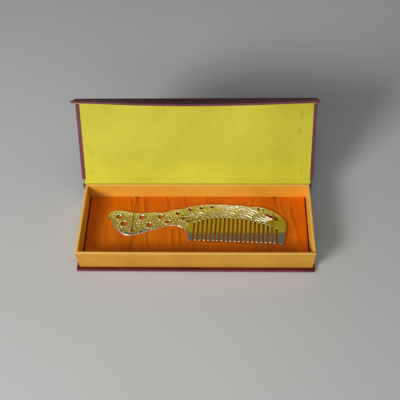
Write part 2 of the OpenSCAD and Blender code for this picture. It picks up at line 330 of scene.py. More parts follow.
def makeCoverPaper(name, look):
    made, shader = newMaterial(name)
    spot = objectPlace(made)
    grain = addNode(made, "ShaderNodeTexVoronoi", {"feature": "DISTANCE_TO_EDGE"}, Vector=spot,
                    Scale=1 / (coverLook["grainSize"] * mm), Randomness=1.0)
    fine = noiseValue(made, spot, 2600.0, 4.0, 0.6)
    broad = noiseValue(made, spot, 28.0, 3.0, 0.55)
    pits = spread(made, grain.outputs["Distance"], 0.0, 0.22, soft=True)
    tone = mathNode(made, "MULTIPLY_ADD", pits, 0.45, broad)
    colour = colourRamp(made, tone, look, dark=0.35, mid=0.7, light=1.0)
    rough = spread(made, fine, 0.3, 0.7, coverLook["roughness"] - 0.08, coverLook["roughness"] + 0.12)
    normal = addBump(made, pits, 0.55, coverLook["grainDepth"] * mm)
    normal = addBump(made, fine, 0.35, 0.05 * mm, normal)
    fillNode(made, shader, BaseColor=colour, Roughness=rough, Normal=normal, SpecularIORLevel=look["gloss"],
             CoatWeight=coverLook["coat"], CoatRoughness=0.35, SheenWeight=look["sheen"], SheenRoughness=0.4,
             SheenTint=(*coverLook["sheenTint"], 1))
    return made


def makePaper(name, look):
    made, shader = newMaterial(name)
    spot = objectPlace(made)
    broad = noiseValue(made, spot, look["cloudScale"], 3.0, 0.55)
    fibres = noiseValue(made, stretched(made, spot, look["fibreStretch"]), 1500.0, 5.0, 0.65)
    speck = noiseValue(made, spot, 5200.0, 2.0, 0.5)
    tone = mathNode(made, "MULTIPLY_ADD", fibres, 0.5, broad)
    colour = colourRamp(made, tone, look, dark=0.5, mid=0.75, light=1.0)
    height = addNode(made, "ShaderNodeSeparateXYZ", Vector=spot).outputs["Z"]
    if "rubbed" in look:
        # lighter along the tray's rim: partly wear, partly a painted highlight on the rim's top
        reach = look["rubbedFrom"] * mm
        rim = spread(made, height, trayHigh.z - reach, trayHigh.z - 0.25 * reach, soft=True)
        patchy = spread(made, fibres, 0.3, 0.7, 0.55, 1.0)
        colour = tinted(made, colour, mathNode(made, "MULTIPLY", rim, patchy), look["rubbed"])
    # painted reflection: warmer towards the foot, standing in for light bounced from the orange tray
    if "foot" in look:
        low, high = look["foot"]
        share = spread(made, height, low * mm, high * mm, 1.0, 0.0, soft=True)
        colour = tinted(made, colour, share, look["footTint"], "MULTIPLY")
    if "marks" in look:
        wobble = noiseValue(made, spot, 700.0, 3.0, 0.6)
        for x, z, wide, high, strength in look["marks"]:
            near = addNode(made, "ShaderNodeMapping", Vector=spot, Location=(-x / wide, 0, -z / high),
                           Scale=(1 / (wide * mm), 0, 1 / (high * mm))).outputs["Vector"]
            far = addNode(made, "ShaderNodeVectorMath", {"operation": "LENGTH"}, Vector=near)
            ragged = mathNode(made, "ADD", far.outputs["Value"], wobble)
            share = spread(made, ragged, 0.5, 1.9, strength, 0.0, soft=True)
            colour = tinted(made, colour, share, look["markTint"], "MULTIPLY")
    rough = spread(made, fibres, 0.3, 0.7, look["roughness"] - 0.06, look["roughness"] + 0.1)
    normal = addBump(made, fibres, look["bump"], 0.06 * mm)
    normal = addBump(made, speck, look["bump"] * 0.5, 0.02 * mm, normal)
    fillNode(made, shader, BaseColor=colour, Roughness=rough, Normal=normal, SpecularIORLevel=look["gloss"])
    return made


trayPaperLook = {
    "dark": (0.82, 0.365, 0.025), "mid": (0.92, 0.435, 0.035), "light": (0.96, 0.5, 0.05),
    # the rim's lighter band is partly wear and partly a painted highlight
    "rubbed": (1.0, 0.63, 0.13), "rubbedFrom": 0.9,  # millimetres below the rim
    "cloudScale": 22.0, "fibreStretch": (1.0, 0.35, 1.0), "roughness": 0.62, "bump": 0.35, "gloss": 0.4,
}
# painted shade: a darker copy of the tray paper for the tray's outer faces, standing in for the lower light
# they get
shadedOuterPaperLook = {
    "dark": (0.62, 0.28, 0.02), "mid": (0.7, 0.33, 0.028), "light": (0.77, 0.39, 0.042),
    # the rim's lighter band is partly wear and partly a painted highlight
    "rubbed": (1.0, 0.63, 0.13), "rubbedFrom": 0.9,
    "cloudScale": 22.0, "fibreStretch": (1.0, 1.0, 0.35), "roughness": 0.6, "bump": 0.4, "gloss": 0.4,
}
liningPaperLook = {
    "dark": (0.59, 0.53, 0.029), "mid": (0.67, 0.61, 0.04), "light": (0.75, 0.68, 0.056),
    "cloudScale": 16.0, "fibreStretch": (0.4, 1.0, 1.0), "roughness": 0.6, "bump": 0.28, "gloss": 0.4,
    "foot": (40.0, 60.0), "footTint": (1.1, 1.09, 0.75),  # warmer near the spine, a painted reflection of light from the orange tray: heights in millimetres
    # faint grey rub marks near the ends: x, z, half width and half height in millimetres, strength
    "marks": [(106.3, 95.8, 2.2, 4.6, 0.9), (104.6, 80.1, 2.2, 3.4, 1.0), (113.2, 54.9, 0.8, 1.6, 1.2),
              (108.1, 41.8, 1.9, 3.2, 0.9), (109.2, 50.6, 1.5, 3.6, 0.5), (-112.1, 48.7, 1.2, 1.3, 1.0),
              (-112.1, 65.6, 0.7, 1.3, 0.9), (-108.7, 92.7, 3.1, 4.7, 0.4), (-109.5, 62.4, 3.1, 8.8, 0.4),
              (-109.9, 40.8, 2.5, 3.2, 0.6)],
    "markTint": (0.83, 0.82, 0.6),
}
# near-black board: painted shade low on the tray's inner walls and in the crack behind its rim, and the
# board itself at a worn corner
boardAndPaintedShadeLook = {
    "dark": (0.01, 0.008, 0.007), "mid": (0.018, 0.015, 0.012), "light": (0.03, 0.024, 0.02),
    "cloudScale": 30.0, "fibreStretch": (1.0, 1.0, 0.5), "roughness": 0.85, "bump": 0.5, "gloss": 0.2,
}
satinLook = {
    "deep": (0.56, 0.1, 0.001), "mid": (0.74, 0.155, 0.002), "light": (0.86, 0.2, 0.004),
    "threadPitch": 0.16,  # millimetres
    "roughness": 0.34, "gloss": 0.6, "glossTint": (1.0, 0.62, 0.3), "sheen": 0.25,
    "sheenTint": (1.0, 0.5, 0.2),
}
silverLook = {
    "frosted": (0.96, 0.94, 0.88), "polished": (0.99, 0.92, 0.69), "worn": (0.69, 0.62, 0.21),
    "tarnish": (0.13, 0.06, 0.015),
    "roughness": 0.05,
    "frost": 0.42,  # roughness that the tops of the raised lines have more than the polished metal
    "dull": 0.35,  # and the dark floors
}
elasticLook = {
    "shade": (0.12, 0.05, 0.002), "thread": (0.56, 0.26, 0.01), "glint": (0.85, 0.5, 0.03),
    "roughness": 0.45, "metal": 0.3, "glossTint": (1.0, 0.66, 0.25),
}


def makeSatin():
    made, shader = newMaterial("orangeSatin")
    spot = objectPlace(made)
    broad = noiseValue(made, stretched(made, spot, (1.0, 0.3, 1.0)), 60.0, 4.0, 0.6)
    colour = colourRamp(made, broad, satinLook, deep=0.25, mid=0.5, light=0.8)
    perMetre = 1 / (satinLook["threadPitch"] * mm)
    warp = addNode(made, "ShaderNodeTexWave", {"bands_direction": "X"}, Vector=spot, Scale=perMetre * 0.159,
                   Distortion=0.4, Detail=1.0, DetailScale=2.0).outputs["Fac"]
    weft = addNode(made, "ShaderNodeTexWave", {"bands_direction": "Y"}, Vector=spot, Scale=perMetre * 0.04,
                   Distortion=1.2, Detail=2.0, DetailScale=1.5).outputs["Fac"]
    crumple = noiseValue(made, stretched(made, spot, (1.0, 0.22, 1.0)), 260.0, 4.0, 0.55)
    rough = spread(made, crumple, 0.3, 0.7, satinLook["roughness"] - 0.06, satinLook["roughness"] + 0.1)
    normal = addBump(made, warp, 0.12, 0.02 * mm)
    normal = addBump(made, weft, 0.08, 0.02 * mm, normal)
    normal = addBump(made, crumple, 0.35, 0.35 * mm, normal)
    fillNode(made, shader, BaseColor=colour, Roughness=rough, Normal=normal,
             SpecularIORLevel=satinLook["gloss"], SpecularTint=(*satinLook["glossTint"], 1),
             SheenWeight=satinLook["sheen"], SheenRoughness=0.35, SheenTint=(*satinLook["sheenTint"], 1))
    return made


def makeSilver():
    # the attribute runs from -1, frosted, over 0, polished, to 1.7, dark with tarnish; on the walls between
    # the teeth that dark is partly painted shade
    made, shader = newMaterial("polishedSilver")
    spot = objectPlace(made)
    depth = addNode(made, "ShaderNodeAttribute", {"attribute_name": "recess"}).outputs["Fac"]
    cloud = noiseValue(made, spot, 320.0, 4.0, 0.6)
    handling = noiseValue(made, stretched(made, spot, (0.35, 1.0, 1.0)), 1900.0, 3.0, 0.6)
    tone = mathNode(made, "MULTIPLY", depth, cloud)
    colour = colourRamp(made, spread(made, tone, -0.5, 1.0), silverLook, frosted=0.05, polished=0.33,
                        worn=0.5, tarnish=0.7)
    polish = silverLook["roughness"]
    frost = spread(made, depth, 0.0, -1.0, polish, polish + silverLook["frost"])
    rough = mathNode(made, "ADD", frost, spread(made, tone, 0.0, 1.0, 0.0, silverLook["dull"]))
    fillNode(made, shader, BaseColor=colour, Roughness=rough, Metallic=1.0,
             Normal=addBump(made, handling, 0.05, 0.02 * mm))
    return made


def makeElastic():
    made, shader = newMaterial("goldElastic")
    threads = noiseValue(made, objectPlace(made), 3800.0, 3.0, 0.6)
    colour = colourRamp(made, threads, elasticLook, shade=0.3, thread=0.55, glint=0.75)
    fillNode(made, shader, BaseColor=colour, Normal=addBump(made, threads, 0.4, 0.05 * mm),
             Roughness=elasticLook["roughness"], Metallic=elasticLook["metal"],
             SpecularTint=(*elasticLook["glossTint"], 1))
    return made


def makeFloor():
    made, shader = newMaterial("paleFloor")
    look = {"lit": studio["floorColour"], "shaded": tuple(0.96 * c for c in studio["floorColour"])}
    cloud = noiseValue(made, objectPlace(made), 3.0, 3.0, 0.5)
    fillNode(made, shader, BaseColor=colourRamp(made, cloud, look, shaded=0.3, lit=0.7), Roughness=0.8)
    half = studio["floorSize"] / 2
    floor = meshObject("floor", [(-half, -half, 0), (half, -half, 0), (half, half, 0), (-half, half, 0)],
                       [(0, 1, 2, 3)])
    floor.data.materials.append(made)


makeCamera()
makeLamps()
makeFloor()
coverPaper = makeCoverPaper("coverPaper", coverLook)
# painted sheen: lighter, pinker paper for the edges and turned-in strips, partly wear
edgeWearAndSheenCover = makeCoverPaper("edgeWearAndSheenCover", edgeWearAndSheenLook)
trayPaper = makePaper("trayPaper", trayPaperLook)
shadedOuterPaper = makePaper("shadedOuterPaper", shadedOuterPaperLook)
liningPaper = makePaper("liningPaper", liningPaperLook)
boardAndPaintedShade = makePaper("boardAndPaintedShade", boardAndPaintedShadeLook)
orangeSatin = makeSatin()
polishedSilver = makeSilver()
goldElastic = makeElastic()
print("camera, floor, lamps and materials made")


# Tray

trayLook = {
    "rimRound": 0.45,  # millimetres, as all sizes here
    "bow": 0.35,  # how far the front wall bows out in its middle
    "flare": 0.9,  # how far the side walls lean out at their front ends
    "bareHeight": 5.6,  # below this height the inner walls are painted near-black: painted shade in the gaps beside the pad
}
padLow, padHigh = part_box("pad")
wall = 2.4 * mm
floorThick = 2.0 * mm


def evenCuts(form, axis, low, high, count):
    # loop cuts, so that a flat board can bend a little
    step = (high[axis] - low[axis]) / count
    for k in range(1, count):
        cutAcross(form, axis, low[axis] + step * k)


def cutAcross(form, axis, value):
    normal = Vector((0, 0, 0))
    normal[axis] = 1
    bmesh.ops.bisect_plane(form, geom=form.verts[:] + form.edges[:] + form.faces[:], plane_co=normal * value,
                           plane_no=normal)


def roundEdges(form, edges, radius):
    bmesh.ops.bevel(form, geom=edges, offset=radius, offset_type="OFFSET", segments=3, profile=0.5,
                    affect="EDGES")


def rectangle(low, high, a, b, inwards):
    # four corners in the directions a and b, drawn inwards
    return [Vector((low[a] + inwards, low[b] + inwards)), Vector((high[a] - inwards, low[b] + inwards)),
            Vector((high[a] - inwards, high[b] - inwards)), Vector((low[a] + inwards, high[b] - inwards))]


def makeTray():
    low, high = trayLow, trayHigh
    form = bmesh.new()
    # outer shell, then the inside: four corners at each level
    levels = []
    for inwards, height in ((0, low.z), (0, high.z), (wall, high.z), (wall, low.z + floorThick)):
        levels.append([form.verts.new((x, y, height)) for x, y in rectangle(low, high, 0, 1, inwards)])
    form.faces.new(list(reversed(levels[0])))
    form.faces.new(levels[3])
    for lower, upper in zip(levels, levels[1:]):
        for i in range(4):
            form.faces.new((lower[i - 1], lower[i], upper[i], upper[i - 1]))
    bmesh.ops.recalc_face_normals(form, faces=form.faces)
    # all edges are rounded but those round the inner floor
    edges = [e for e in form.edges
             if e.calc_face_angle(0) > 0.5 and not all(v in levels[3] for v in e.verts)]
    roundEdges(form, edges, trayLook["rimRound"] * mm)
    evenCuts(form, 0, low, high, 12)
    evenCuts(form, 1, low, high, 6)
    paintedShadeTop = low.z + trayLook["bareHeight"] * mm
    cutAcross(form, 2, paintedShadeTop)
    for v in form.verts:
        middle = 1 - (2 * v.co.x / (high.x - low.x)) ** 2
        ahead = (high.y - v.co.y) / (high.y - low.y)
        up = (v.co.z - low.z) / (high.z - low.z)
        if abs(v.co.y - low.y) < 2 * wall:
            v.co.y -= trayLook["bow"] * mm * middle * up
        if abs(v.co.x) > high.x - 2 * wall:
            v.co.x += math.copysign(trayLook["flare"] * mm * ahead * up, v.co.x)
    tray = formObject("cardTray", form)
    shadeSmooth(tray)
    place(tray, "box", "tray_paper", trayPaper, ["tray"])
    tray.data.materials.append(boardAndPaintedShade)
    tray.data.materials.append(shadedOuterPaper)
    for face in tray.data.polygons:
        x, y, z = face.center
        inside = (low.x + wall / 2 < x < high.x - wall / 2 and low.y + wall / 2 < y < high.y - wall / 2)
        # painted shade: the inner walls' lower faces take the near-black board, darkening the gaps beside
        # the pad
        if inside and low.z + mm < z < paintedShadeTop:
            face.material_index = 1
        # painted shade: the outer faces take the darker copy of the paper
        elif not inside and z < high.z - 0.1 * mm:
            face.material_index = 2


# Wrapped boards

boardLook = {
    "round": 0.8,  # rounding of the wrapped edges, millimetres, as all sizes here
    "lidThick": 2.6,
    "flapThick": 2.2,
    "gap": 0.1,  # between a board and its lining
    "turnIn": 4.8,  # paper turned in round a lining
    "turnInThick": 0.14,
    "turnInEdge": 0.5,  # it starts this far from the board's edge
    "mitre": 0.05,  # half the gap between its strips
    "liningRound": 0.12,
    "liningMargins": (4.3, 3.4),  # between the lining and the lid's left and right edges
    "baseLeft": 1.0,  # the base and the spine stand out further at the left end
    "flapBow": 0.3,  # its middle stands this far inwards
    "flapEnds": (3.3, 2.6),  # its left and right ends turn outwards
    "lidBow": 0.5,
}
lidHinge = next(j for j in frame["joints"] if j["name"] == "lid_hinge")
flapHinge = next(j for j in frame["joints"] if j["name"] == "flap_hinge")
lidOpen = -lidHinge["range_deg"][0]
flapLean = flapHinge["range_deg"][0]
lidReach = (Vector(flapHinge["pos_m"]) - Vector(lidHinge["pos_m"])).length
lidPlace = Matrix.Translation(lidHinge["pos_m"]) @ Matrix.Rotation(math.radians(-lidOpen), 4, "X")
flapTurn = Matrix.Rotation(math.radians(flapLean), 4, "X")
flapPlace = lidPlace @ Matrix.Translation((0, -lidReach, 0)) @ flapTurn
lidWidth = 242.4 * mm
baseWidth = 239.2 * mm
liningThick = 0.5 * mm
foldWidth = 4.5 * mm
flapDepth = 21.5 * mm


def lidBend(point):
    # the lid sags a little towards its middle; y runs from the flap's fold (-lidReach) to the hinge (0)
    along = 1 - (2 * point.x / lidWidth) ** 2
    across = math.sin(math.pi * min(max(-point.y / lidReach, 0.0), 1.0))
    return Vector((0, 0, boardLook["lidBow"] * mm * along * across))


def flapBend(point):
    # the flap is bowed along its free edge
    t = min(max(point.x / lidWidth + 0.5, 0.0), 1.0)
    wave = math.sin(math.pi * t) ** 1.15
    left, right = boardLook["flapEnds"]
    out = boardLook["flapBow"] * wave - (left + (right - left) * t) * (1 - wave)
    down = min(max(-point.z / flapDepth, 0.0), 1.0)
    return Vector((0, out * mm * down, 0))


def noBend(point):
    return Vector((0, 0, 0))


def boardForm(low, high, radius, cuts):
    form = bmesh.new()
    bmesh.ops.create_cube(form, size=1)
    for v in form.verts:
        v.co = [(low[i] + high[i]) / 2 + v.co[i] * (high[i] - low[i]) for i in range(3)]
    roundEdges(form, form.edges[:], radius)
    for axis, count in cuts:
        evenCuts(form, axis, low, high, count)
    return form


def finishForm(form, name, bend, matrix, *fitted):
    for v in form.verts:
        v.co = matrix @ (v.co + bend(v.co))
    made = formObject(name, form)
    shadeSmooth(made)
    return place(made, *fitted)


def markEdges(piece, matrix, axis, inner=None):
    # lighter paper on the narrow sides, partly wear and partly painted sheen; below inner lie the turned-in
    # strips
    piece.data.materials.append(edgeWearAndSheenCover)
    back = matrix.inverted()
    for face in piece.data.polygons:
        across = (back.to_3x3() @ face.normal)[axis]
        if abs(across) < 0.75 or inner is not None and (back @ face.center)[axis] < inner:
            face.material_index = 1


def addTurnIns(form, low, high, level, axes, thick):
    # four strips of turned-in paper with mitred corners; axes are the two directions of the board's face
    a, b = axes
    gap = boardLook["mitre"] * mm
    count = 16
    outer = rectangle(low, high, a, b, boardLook["turnInEdge"] * mm)
    inner = rectangle(low, high, a, b, boardLook["turnIn"] * mm)
    for i in range(4):
        k = (i + 1) % 4
        run = (outer[k] - outer[i]).normalized() * gap
        # rows: outer low, outer high, inner high, inner low
        rows = []
        for corners, rise in ((outer, 0), (outer, thick), (inner, thick), (inner, 0)):
            start = corners[i] + run
            end = corners[k] - run
            row = []
            for s in range(count + 1):
                flat = start + (end - start) * s / count
                spot = Vector((0, 0, 0))
                spot[a], spot[b], spot[3 - a - b] = flat.x, flat.y, level + rise
                row.append(form.verts.new(spot))
            rows.append(row)
        for near, far in zip(rows, rows[1:] + rows[:1]):
            for s in range(count):
                form.faces.new((near[s], near[s + 1], far[s + 1], far[s]))
        form.faces.new([row[0] for row in rows])
        form.faces.new([row[-1] for row in reversed(rows)])
    bmesh.ops.recalc_face_normals(form, faces=form.faces)


def makeBoards():
    radius = boardLook["round"] * mm
    thick = boardLook["turnInThick"] * mm
    cover = ("cover_paper", coverPaper)
    for node, name, deep, up in (("base_board", "baseWrap", 1, 2), ("spine_board", "spineWrap", 2, 1)):
        low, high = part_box(node)
        low.x -= boardLook["baseLeft"] * mm
        form = boardForm(low, high, radius, [(0, 10), (deep, 4)])
        made = finishForm(form, name, noBend, Matrix.Identity(4), "box", *cover, [node])
        markEdges(made, Matrix.Identity(4), up)
    half = lidWidth / 2
    under = liningThick + boardLook["gap"] * mm
    # the lid, in its own frame: lining side down
    low = (-half, -lidReach + 1.0 * mm, under)
    high = (half, -foldWidth, under + boardLook["lidThick"] * mm)
    form = boardForm(low, high, radius, [(0, 12), (1, 6)])
    addTurnIns(form, low, high, under - thick, (0, 1), thick * 1.5)
    made = finishForm(form, "lidWrap", lidBend, lidPlace, "lid", *cover, ["lid_board"])
    markEdges(made, lidPlace, 2, under - 0.02 * mm)
    # the flap, in its own frame: it hangs down from its fold, lining side towards +y
    low = (-half, -under - boardLook["flapThick"] * mm, -flapDepth)
    high = (half, -under, -1.0 * mm)
    form = boardForm(low, high, radius, [(0, 24), (2, 4)])
    addTurnIns(form, low, high, -under - thick * 0.5, (0, 2), thick * 1.5)
    made = finishForm(form, "flapWrap", flapBend, flapPlace, "flap", *cover, ["flap_board"])
    markEdges(made, flapPlace, 1)


def makeLinings():
    left = boardLook["liningMargins"][0] * mm - lidWidth / 2
    right = lidWidth / 2 - boardLook["liningMargins"][1] * mm
    radius = boardLook["liningRound"] * mm
    low = (left, -lidReach + 0.4 * mm, 0)
    high = (right, -foldWidth - 0.2 * mm, liningThick)
    form = boardForm(low, high, radius, [(0, 16), (1, 8)])
    finishForm(form, "lidPaper", lidBend, lidPlace, "lid", "lining_paper", liningPaper, ["lid_lining"])
    low = (left, -liningThick, -20.3 * mm)
    high = (right, 0, -0.4 * mm)
    form = boardForm(low, high, radius, [(0, 24), (2, 4)])
    finishForm(form, "flapPaper", flapBend, flapPlace, "flap", "lining_paper", liningPaper, ["flap_lining"])


def ribbonAlong(name, path, halfWidth, thick, columns):
    # a strip of paper along x; path is its cross-section, given from outside to inside as (y, z)
    path = [Vector((0, y, z)) for y, z in path]
    count = len(path)
    sides = []
    for i in range(count):
        run = path[min(i + 1, count - 1)] - path[max(i - 1, 0)]
        sides.append(Vector((0, -run.z, run.y)).normalized() * thick / 2)
    points = [spot + side * level + Vector((halfWidth * (2 * c / columns - 1), 0, 0))
              for level in (1, -1) for spot, side in zip(path, sides) for c in range(columns + 1)]
    total = len(points) // 2
    rim = gridRim(columns + 1, count)
    faces = gridFaces(columns + 1, count) + [f[::-1] for f in gridFaces(columns + 1, count, total)]
    made = meshObject(name, points, faces + ringFaces([rim, [i + total for i in rim]]))
    fixNormals(made)
    shadeSmooth(made)
    return made


def inLid(y, z):
    # from the lid's own frame to the world's y and z
    spot = lidPlace @ Vector((0, y, z))
    return spot.y, spot.z


def inFlap(y, z):
    spot = flapPlace @ Vector((0, y, z))
    return spot.y, spot.z


def makeFold(name, path, halfWidth, thick, slot, material, stands=()):
    made = ribbonAlong(name, smoothLine(path, 4), halfWidth, thick * mm, 24)
    return place(made, None, slot, material, stands)


def makeFolds():
    hingeY, hingeZ = lidHinge["pos_m"][1:]
    spineLow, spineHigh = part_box("spine_board")

    # lining paper from the spine's top, in the crack behind the tray's rim, up to the lid's lining
    path = [(spineLow.y - 0.05 * mm, spineHigh.z + 0.3 * mm),
            (spineLow.y + 0.2 * mm, spineHigh.z + 0.45 * mm), (spineLow.y + 0.45 * mm, hingeZ - 0.45 * mm),
            inLid(-0.8 * mm, 0.35 * mm), inLid(-2.2 * mm, 0.05 * mm)]
    path += [inLid(-foldWidth + y * mm, z * mm) for y, z in ((1.2, 0.2), (0.5, 0.75), (-0.1, 0.95))]
    made = makeFold("liningFold", path, baseWidth / 2 - 1.2 * mm, 0.28, "lining_paper", liningPaper,
                    ["lid_strip"])
    # painted shade: the fold's lowest faces take the near-black board, a dark line in the crack behind the
    # rim
    made.data.materials.append(boardAndPaintedShade)
    for face in made.data.polygons:
        if face.center.z < spineHigh.z + 0.95 * mm:
            face.material_index = 1
    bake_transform(made)

    # cover paper over the back of that fold, from the spine's outer face to the lid's outer face
    path = [(spineHigh.y + y * mm, spineHigh.z + z * mm)
            for y, z in ((0.12, -5.0), (0.12, -1.0), (-0.1, 0.5))]
    path += [inLid(-2.2 * mm, 1.3 * mm)]
    path += [inLid(-foldWidth + y * mm, z * mm) for y, z in ((0.2, 2.6), (-1.0, 3.32), (-5.0, 3.34))]
    made = makeFold("coverFold", path, baseWidth / 2 - 0.2 * mm, 0.24, "cover_paper", coverPaper)
    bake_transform(made)

    # cover paper over the flap's fold
    path = [inLid(-lidReach + y * mm, z * mm) for y, z in ((6.0, 3.34), (1.6, 3.3), (-0.2, 3.3))]
    path += [inFlap(y * mm, z * mm) for y, z in ((-3.2, 0.1), (-3.1, -1.6), (-2.95, -5.5))]
    made = makeFold("flapCoverFold", path, lidWidth / 2 - 0.2 * mm, 0.24, "cover_paper", coverPaper)
    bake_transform(made)


def makeCornerWear():
    # a worn spot at the rim's front right corner, where the dark board shows
    flat = [(-1.7, 1.6), (-0.9, 1.2), (-0.3, 1.9), (-0.4, 3.1), (-0.8, 3.7), (-1.3, 3.3), (-1.5, 2.4)]
    count = len(flat)
    points = [(trayHigh.x + u * mm, trayLow.y + v * mm, trayHigh.z + h * mm)
              for h in (0.05, -0.35) for u, v in flat]
    upper, lower = range(count), range(count, 2 * count)
    made = meshObject("cornerWear", points, [tuple(upper), tuple(lower)[::-1]] + ringFaces([upper, lower]))
    fixNormals(made)
    place(made, "box", "tray_paper", boardAndPaintedShade)


makeTray()
makeCornerWear()
makeBoards()
makeLinings()
makeFolds()
print("tray, boards, linings and folds made")


# Comb: u runs along the tips of the teeth, v towards the back, both in millimetres

combShape = {
    "place": (-8.0, 25.4, 9.42),  # x, behind the tray's front, over its underside
    "turn": 2.6,  # degrees
    "tilt": 1.8,
    "plate": 1.6,  # thickness, and at the tips of the teeth
    "tipPlate": 1.0,
    "taperFrom": 28.0,
    "edge": 0.38,  # rounding of the edges; rootEdge and tipEdge as parts of it
    "rootEdge": 2.1,
    "tipEdge": 0.55,
    "nose": 1.8,  # the tips of the teeth are rounded off above with this radius
    "noseLength": 1.7,
    "lastThin": 91,  # the last thin tooth ends here
    "thinTeeth": 19,
    "toothPitch": 4.47,
    "toothGap": 1.9,
    "firstGap": 4.8,
    "lastGuard": 6.9,  # from the last gap to the far side of the second guard tooth
    "gapEnd": 2.2,  # the gaps start to flare here, towards the tips
    "gapFlare": 1.8,  # over this length
    "dome": 0.08,  # how much the back and the handle are crowned
    "spacing": 0.62,  # of the mesh on the crowned surface
    "reach": ((-86, 100), (1, 51)),  # from and to along u, and along v
}
reliefLook = {
    "height": 0.38,
    "scalePitch": 3.1,
    "scaleRow": 0.94,
    "scaleRadius": 0.85,
    "scaleWidth": 0.95,
    "pit": 0.42,  # radius of the dark floor inside a scale
    "border": 1.45,
    "scatter": 0.14,
    "clearOfEye": 1.9,
    "firstRow": 4.2,
    "scaleStart": -84.0,
    "scaleEnd": -1.5,
    "eyeRim": 0.7,
    "featherWidth": 0.82,
    "barb": (1.7, 38, 0.32),  # length of the fine barbs on the feather lines, their angle and width
    "steps": (0.0, 0.33, 0.66, 1.0),  # along a barb
    "patina": 0.4,
    "chasedFrom": (-14, -4),  # the scales end and the chased back starts over this length
    "chasedTo": (84, 92),
    "seed": 7,
}
# Back edge from the handle's tip to the second guard tooth
backEdge = [
    (-86.2, 25.2), (-84.5, 30.5), (-80.5, 33.4), (-74.2, 34.2), (-65, 32.7), (-58, 32), (-51, 31.7),
    (-44, 33), (-37.5, 33.4), (-31, 33.3), (-24.5, 34.4), (-19.5, 37.2), (-13.5, 38.6), (-8, 39.6),
    (-2, 42.4), (5, 44.2), (12, 45.8), (20, 46.7), (32, 47.1), (44, 47.2), (53, 46.8), (61, 45.6),
    (65, 46), (69.5, 46.1), (78.3, 43.9), (86.3, 40.1), (94, 33.9), (98.6, 27.5), (99.4, 23.5),
    (98.9, 17), (97.9, 9),
]
# Belly edge from the first guard tooth to the handle's tip
bellyEdge = [
    (-2, 9.3), (-4.3, 12.5), (-8, 15.5), (-14.5, 17.4), (-21.1, 16.9), (-30.1, 13.9), (-42.7, 8.6),
    (-51.5, 4.9), (-58, 3), (-64.5, 3.2), (-69, 5.4), (-72.5, 8), (-77.8, 13), (-80.4, 17.6),
    (-80.4, 20.3), (-83.6, 22),
]
# Arch that the gaps between the teeth reach up to
rootArch = [
    (2, 21.5), (4.8, 22.9), (14, 27.4), (20, 29.6), (30, 30.6), (42, 30.4), (54, 30.1), (62.5, 28.8),
    (71, 26.3), (80, 23.3), (90, 18.8), (96, 16),
]
# Tips of the guard teeth: the first one's, and the second one's from its far side on
firstTip = [(2.2, -0.1), (1.5, -0.25), (0.8, -0.15), (0.25, 0.15), (0, 0.6), (-0.9, 5)]
lastTip = [(0.2, 3), (-0.1, 1.0), (-0.6, 0.1), (-1.4, -0.4), (-2.7, -0.5), (-4, -0.4), (-4.45, 0.0)]
# Pierced feather eyes: u, v, length, height, turn
eyes = [
    (-73.6, 25.4, 7, 4.4, -4), (-67.6, 17.2, 7, 5.4, -8), (-57.4, 9.4, 5.4, 4, 14),
    (-49.7, 26, 6, 4.4, 0), (-41.1, 16.9, 6, 4.8, 12), (-30.4, 27.8, 6, 4.4, 6),
    (-22.3, 21.9, 6.4, 3.2, 16), (-12.9, 33, 4.2, 3.6, 20), (-6.6, 27.2, 5, 2.8, 38),
    (-1.6, 23.6, 3.6, 2.2, 24), (-0.2, 38.6, 4, 3.2, 12), (10.9, 41.3, 3.4, 2.9, 8),
    (22, 43, 3.4, 2.8, 0), (70.6, 42.5, 2.9, 2.3, -10), (75.6, 41.4, 2.1, 1.8, -14),
]
# Long drop-shaped opening near the far end: u, v, half width
drop = [
    (76.6, 38.2, 0.3), (78.6, 36.5, 1.1), (81.2, 34.8, 1.7), (84.2, 33, 2.1), (87, 31.4, 2.1),
    (89.4, 30, 1.6), (91.2, 29, 0.7),
]
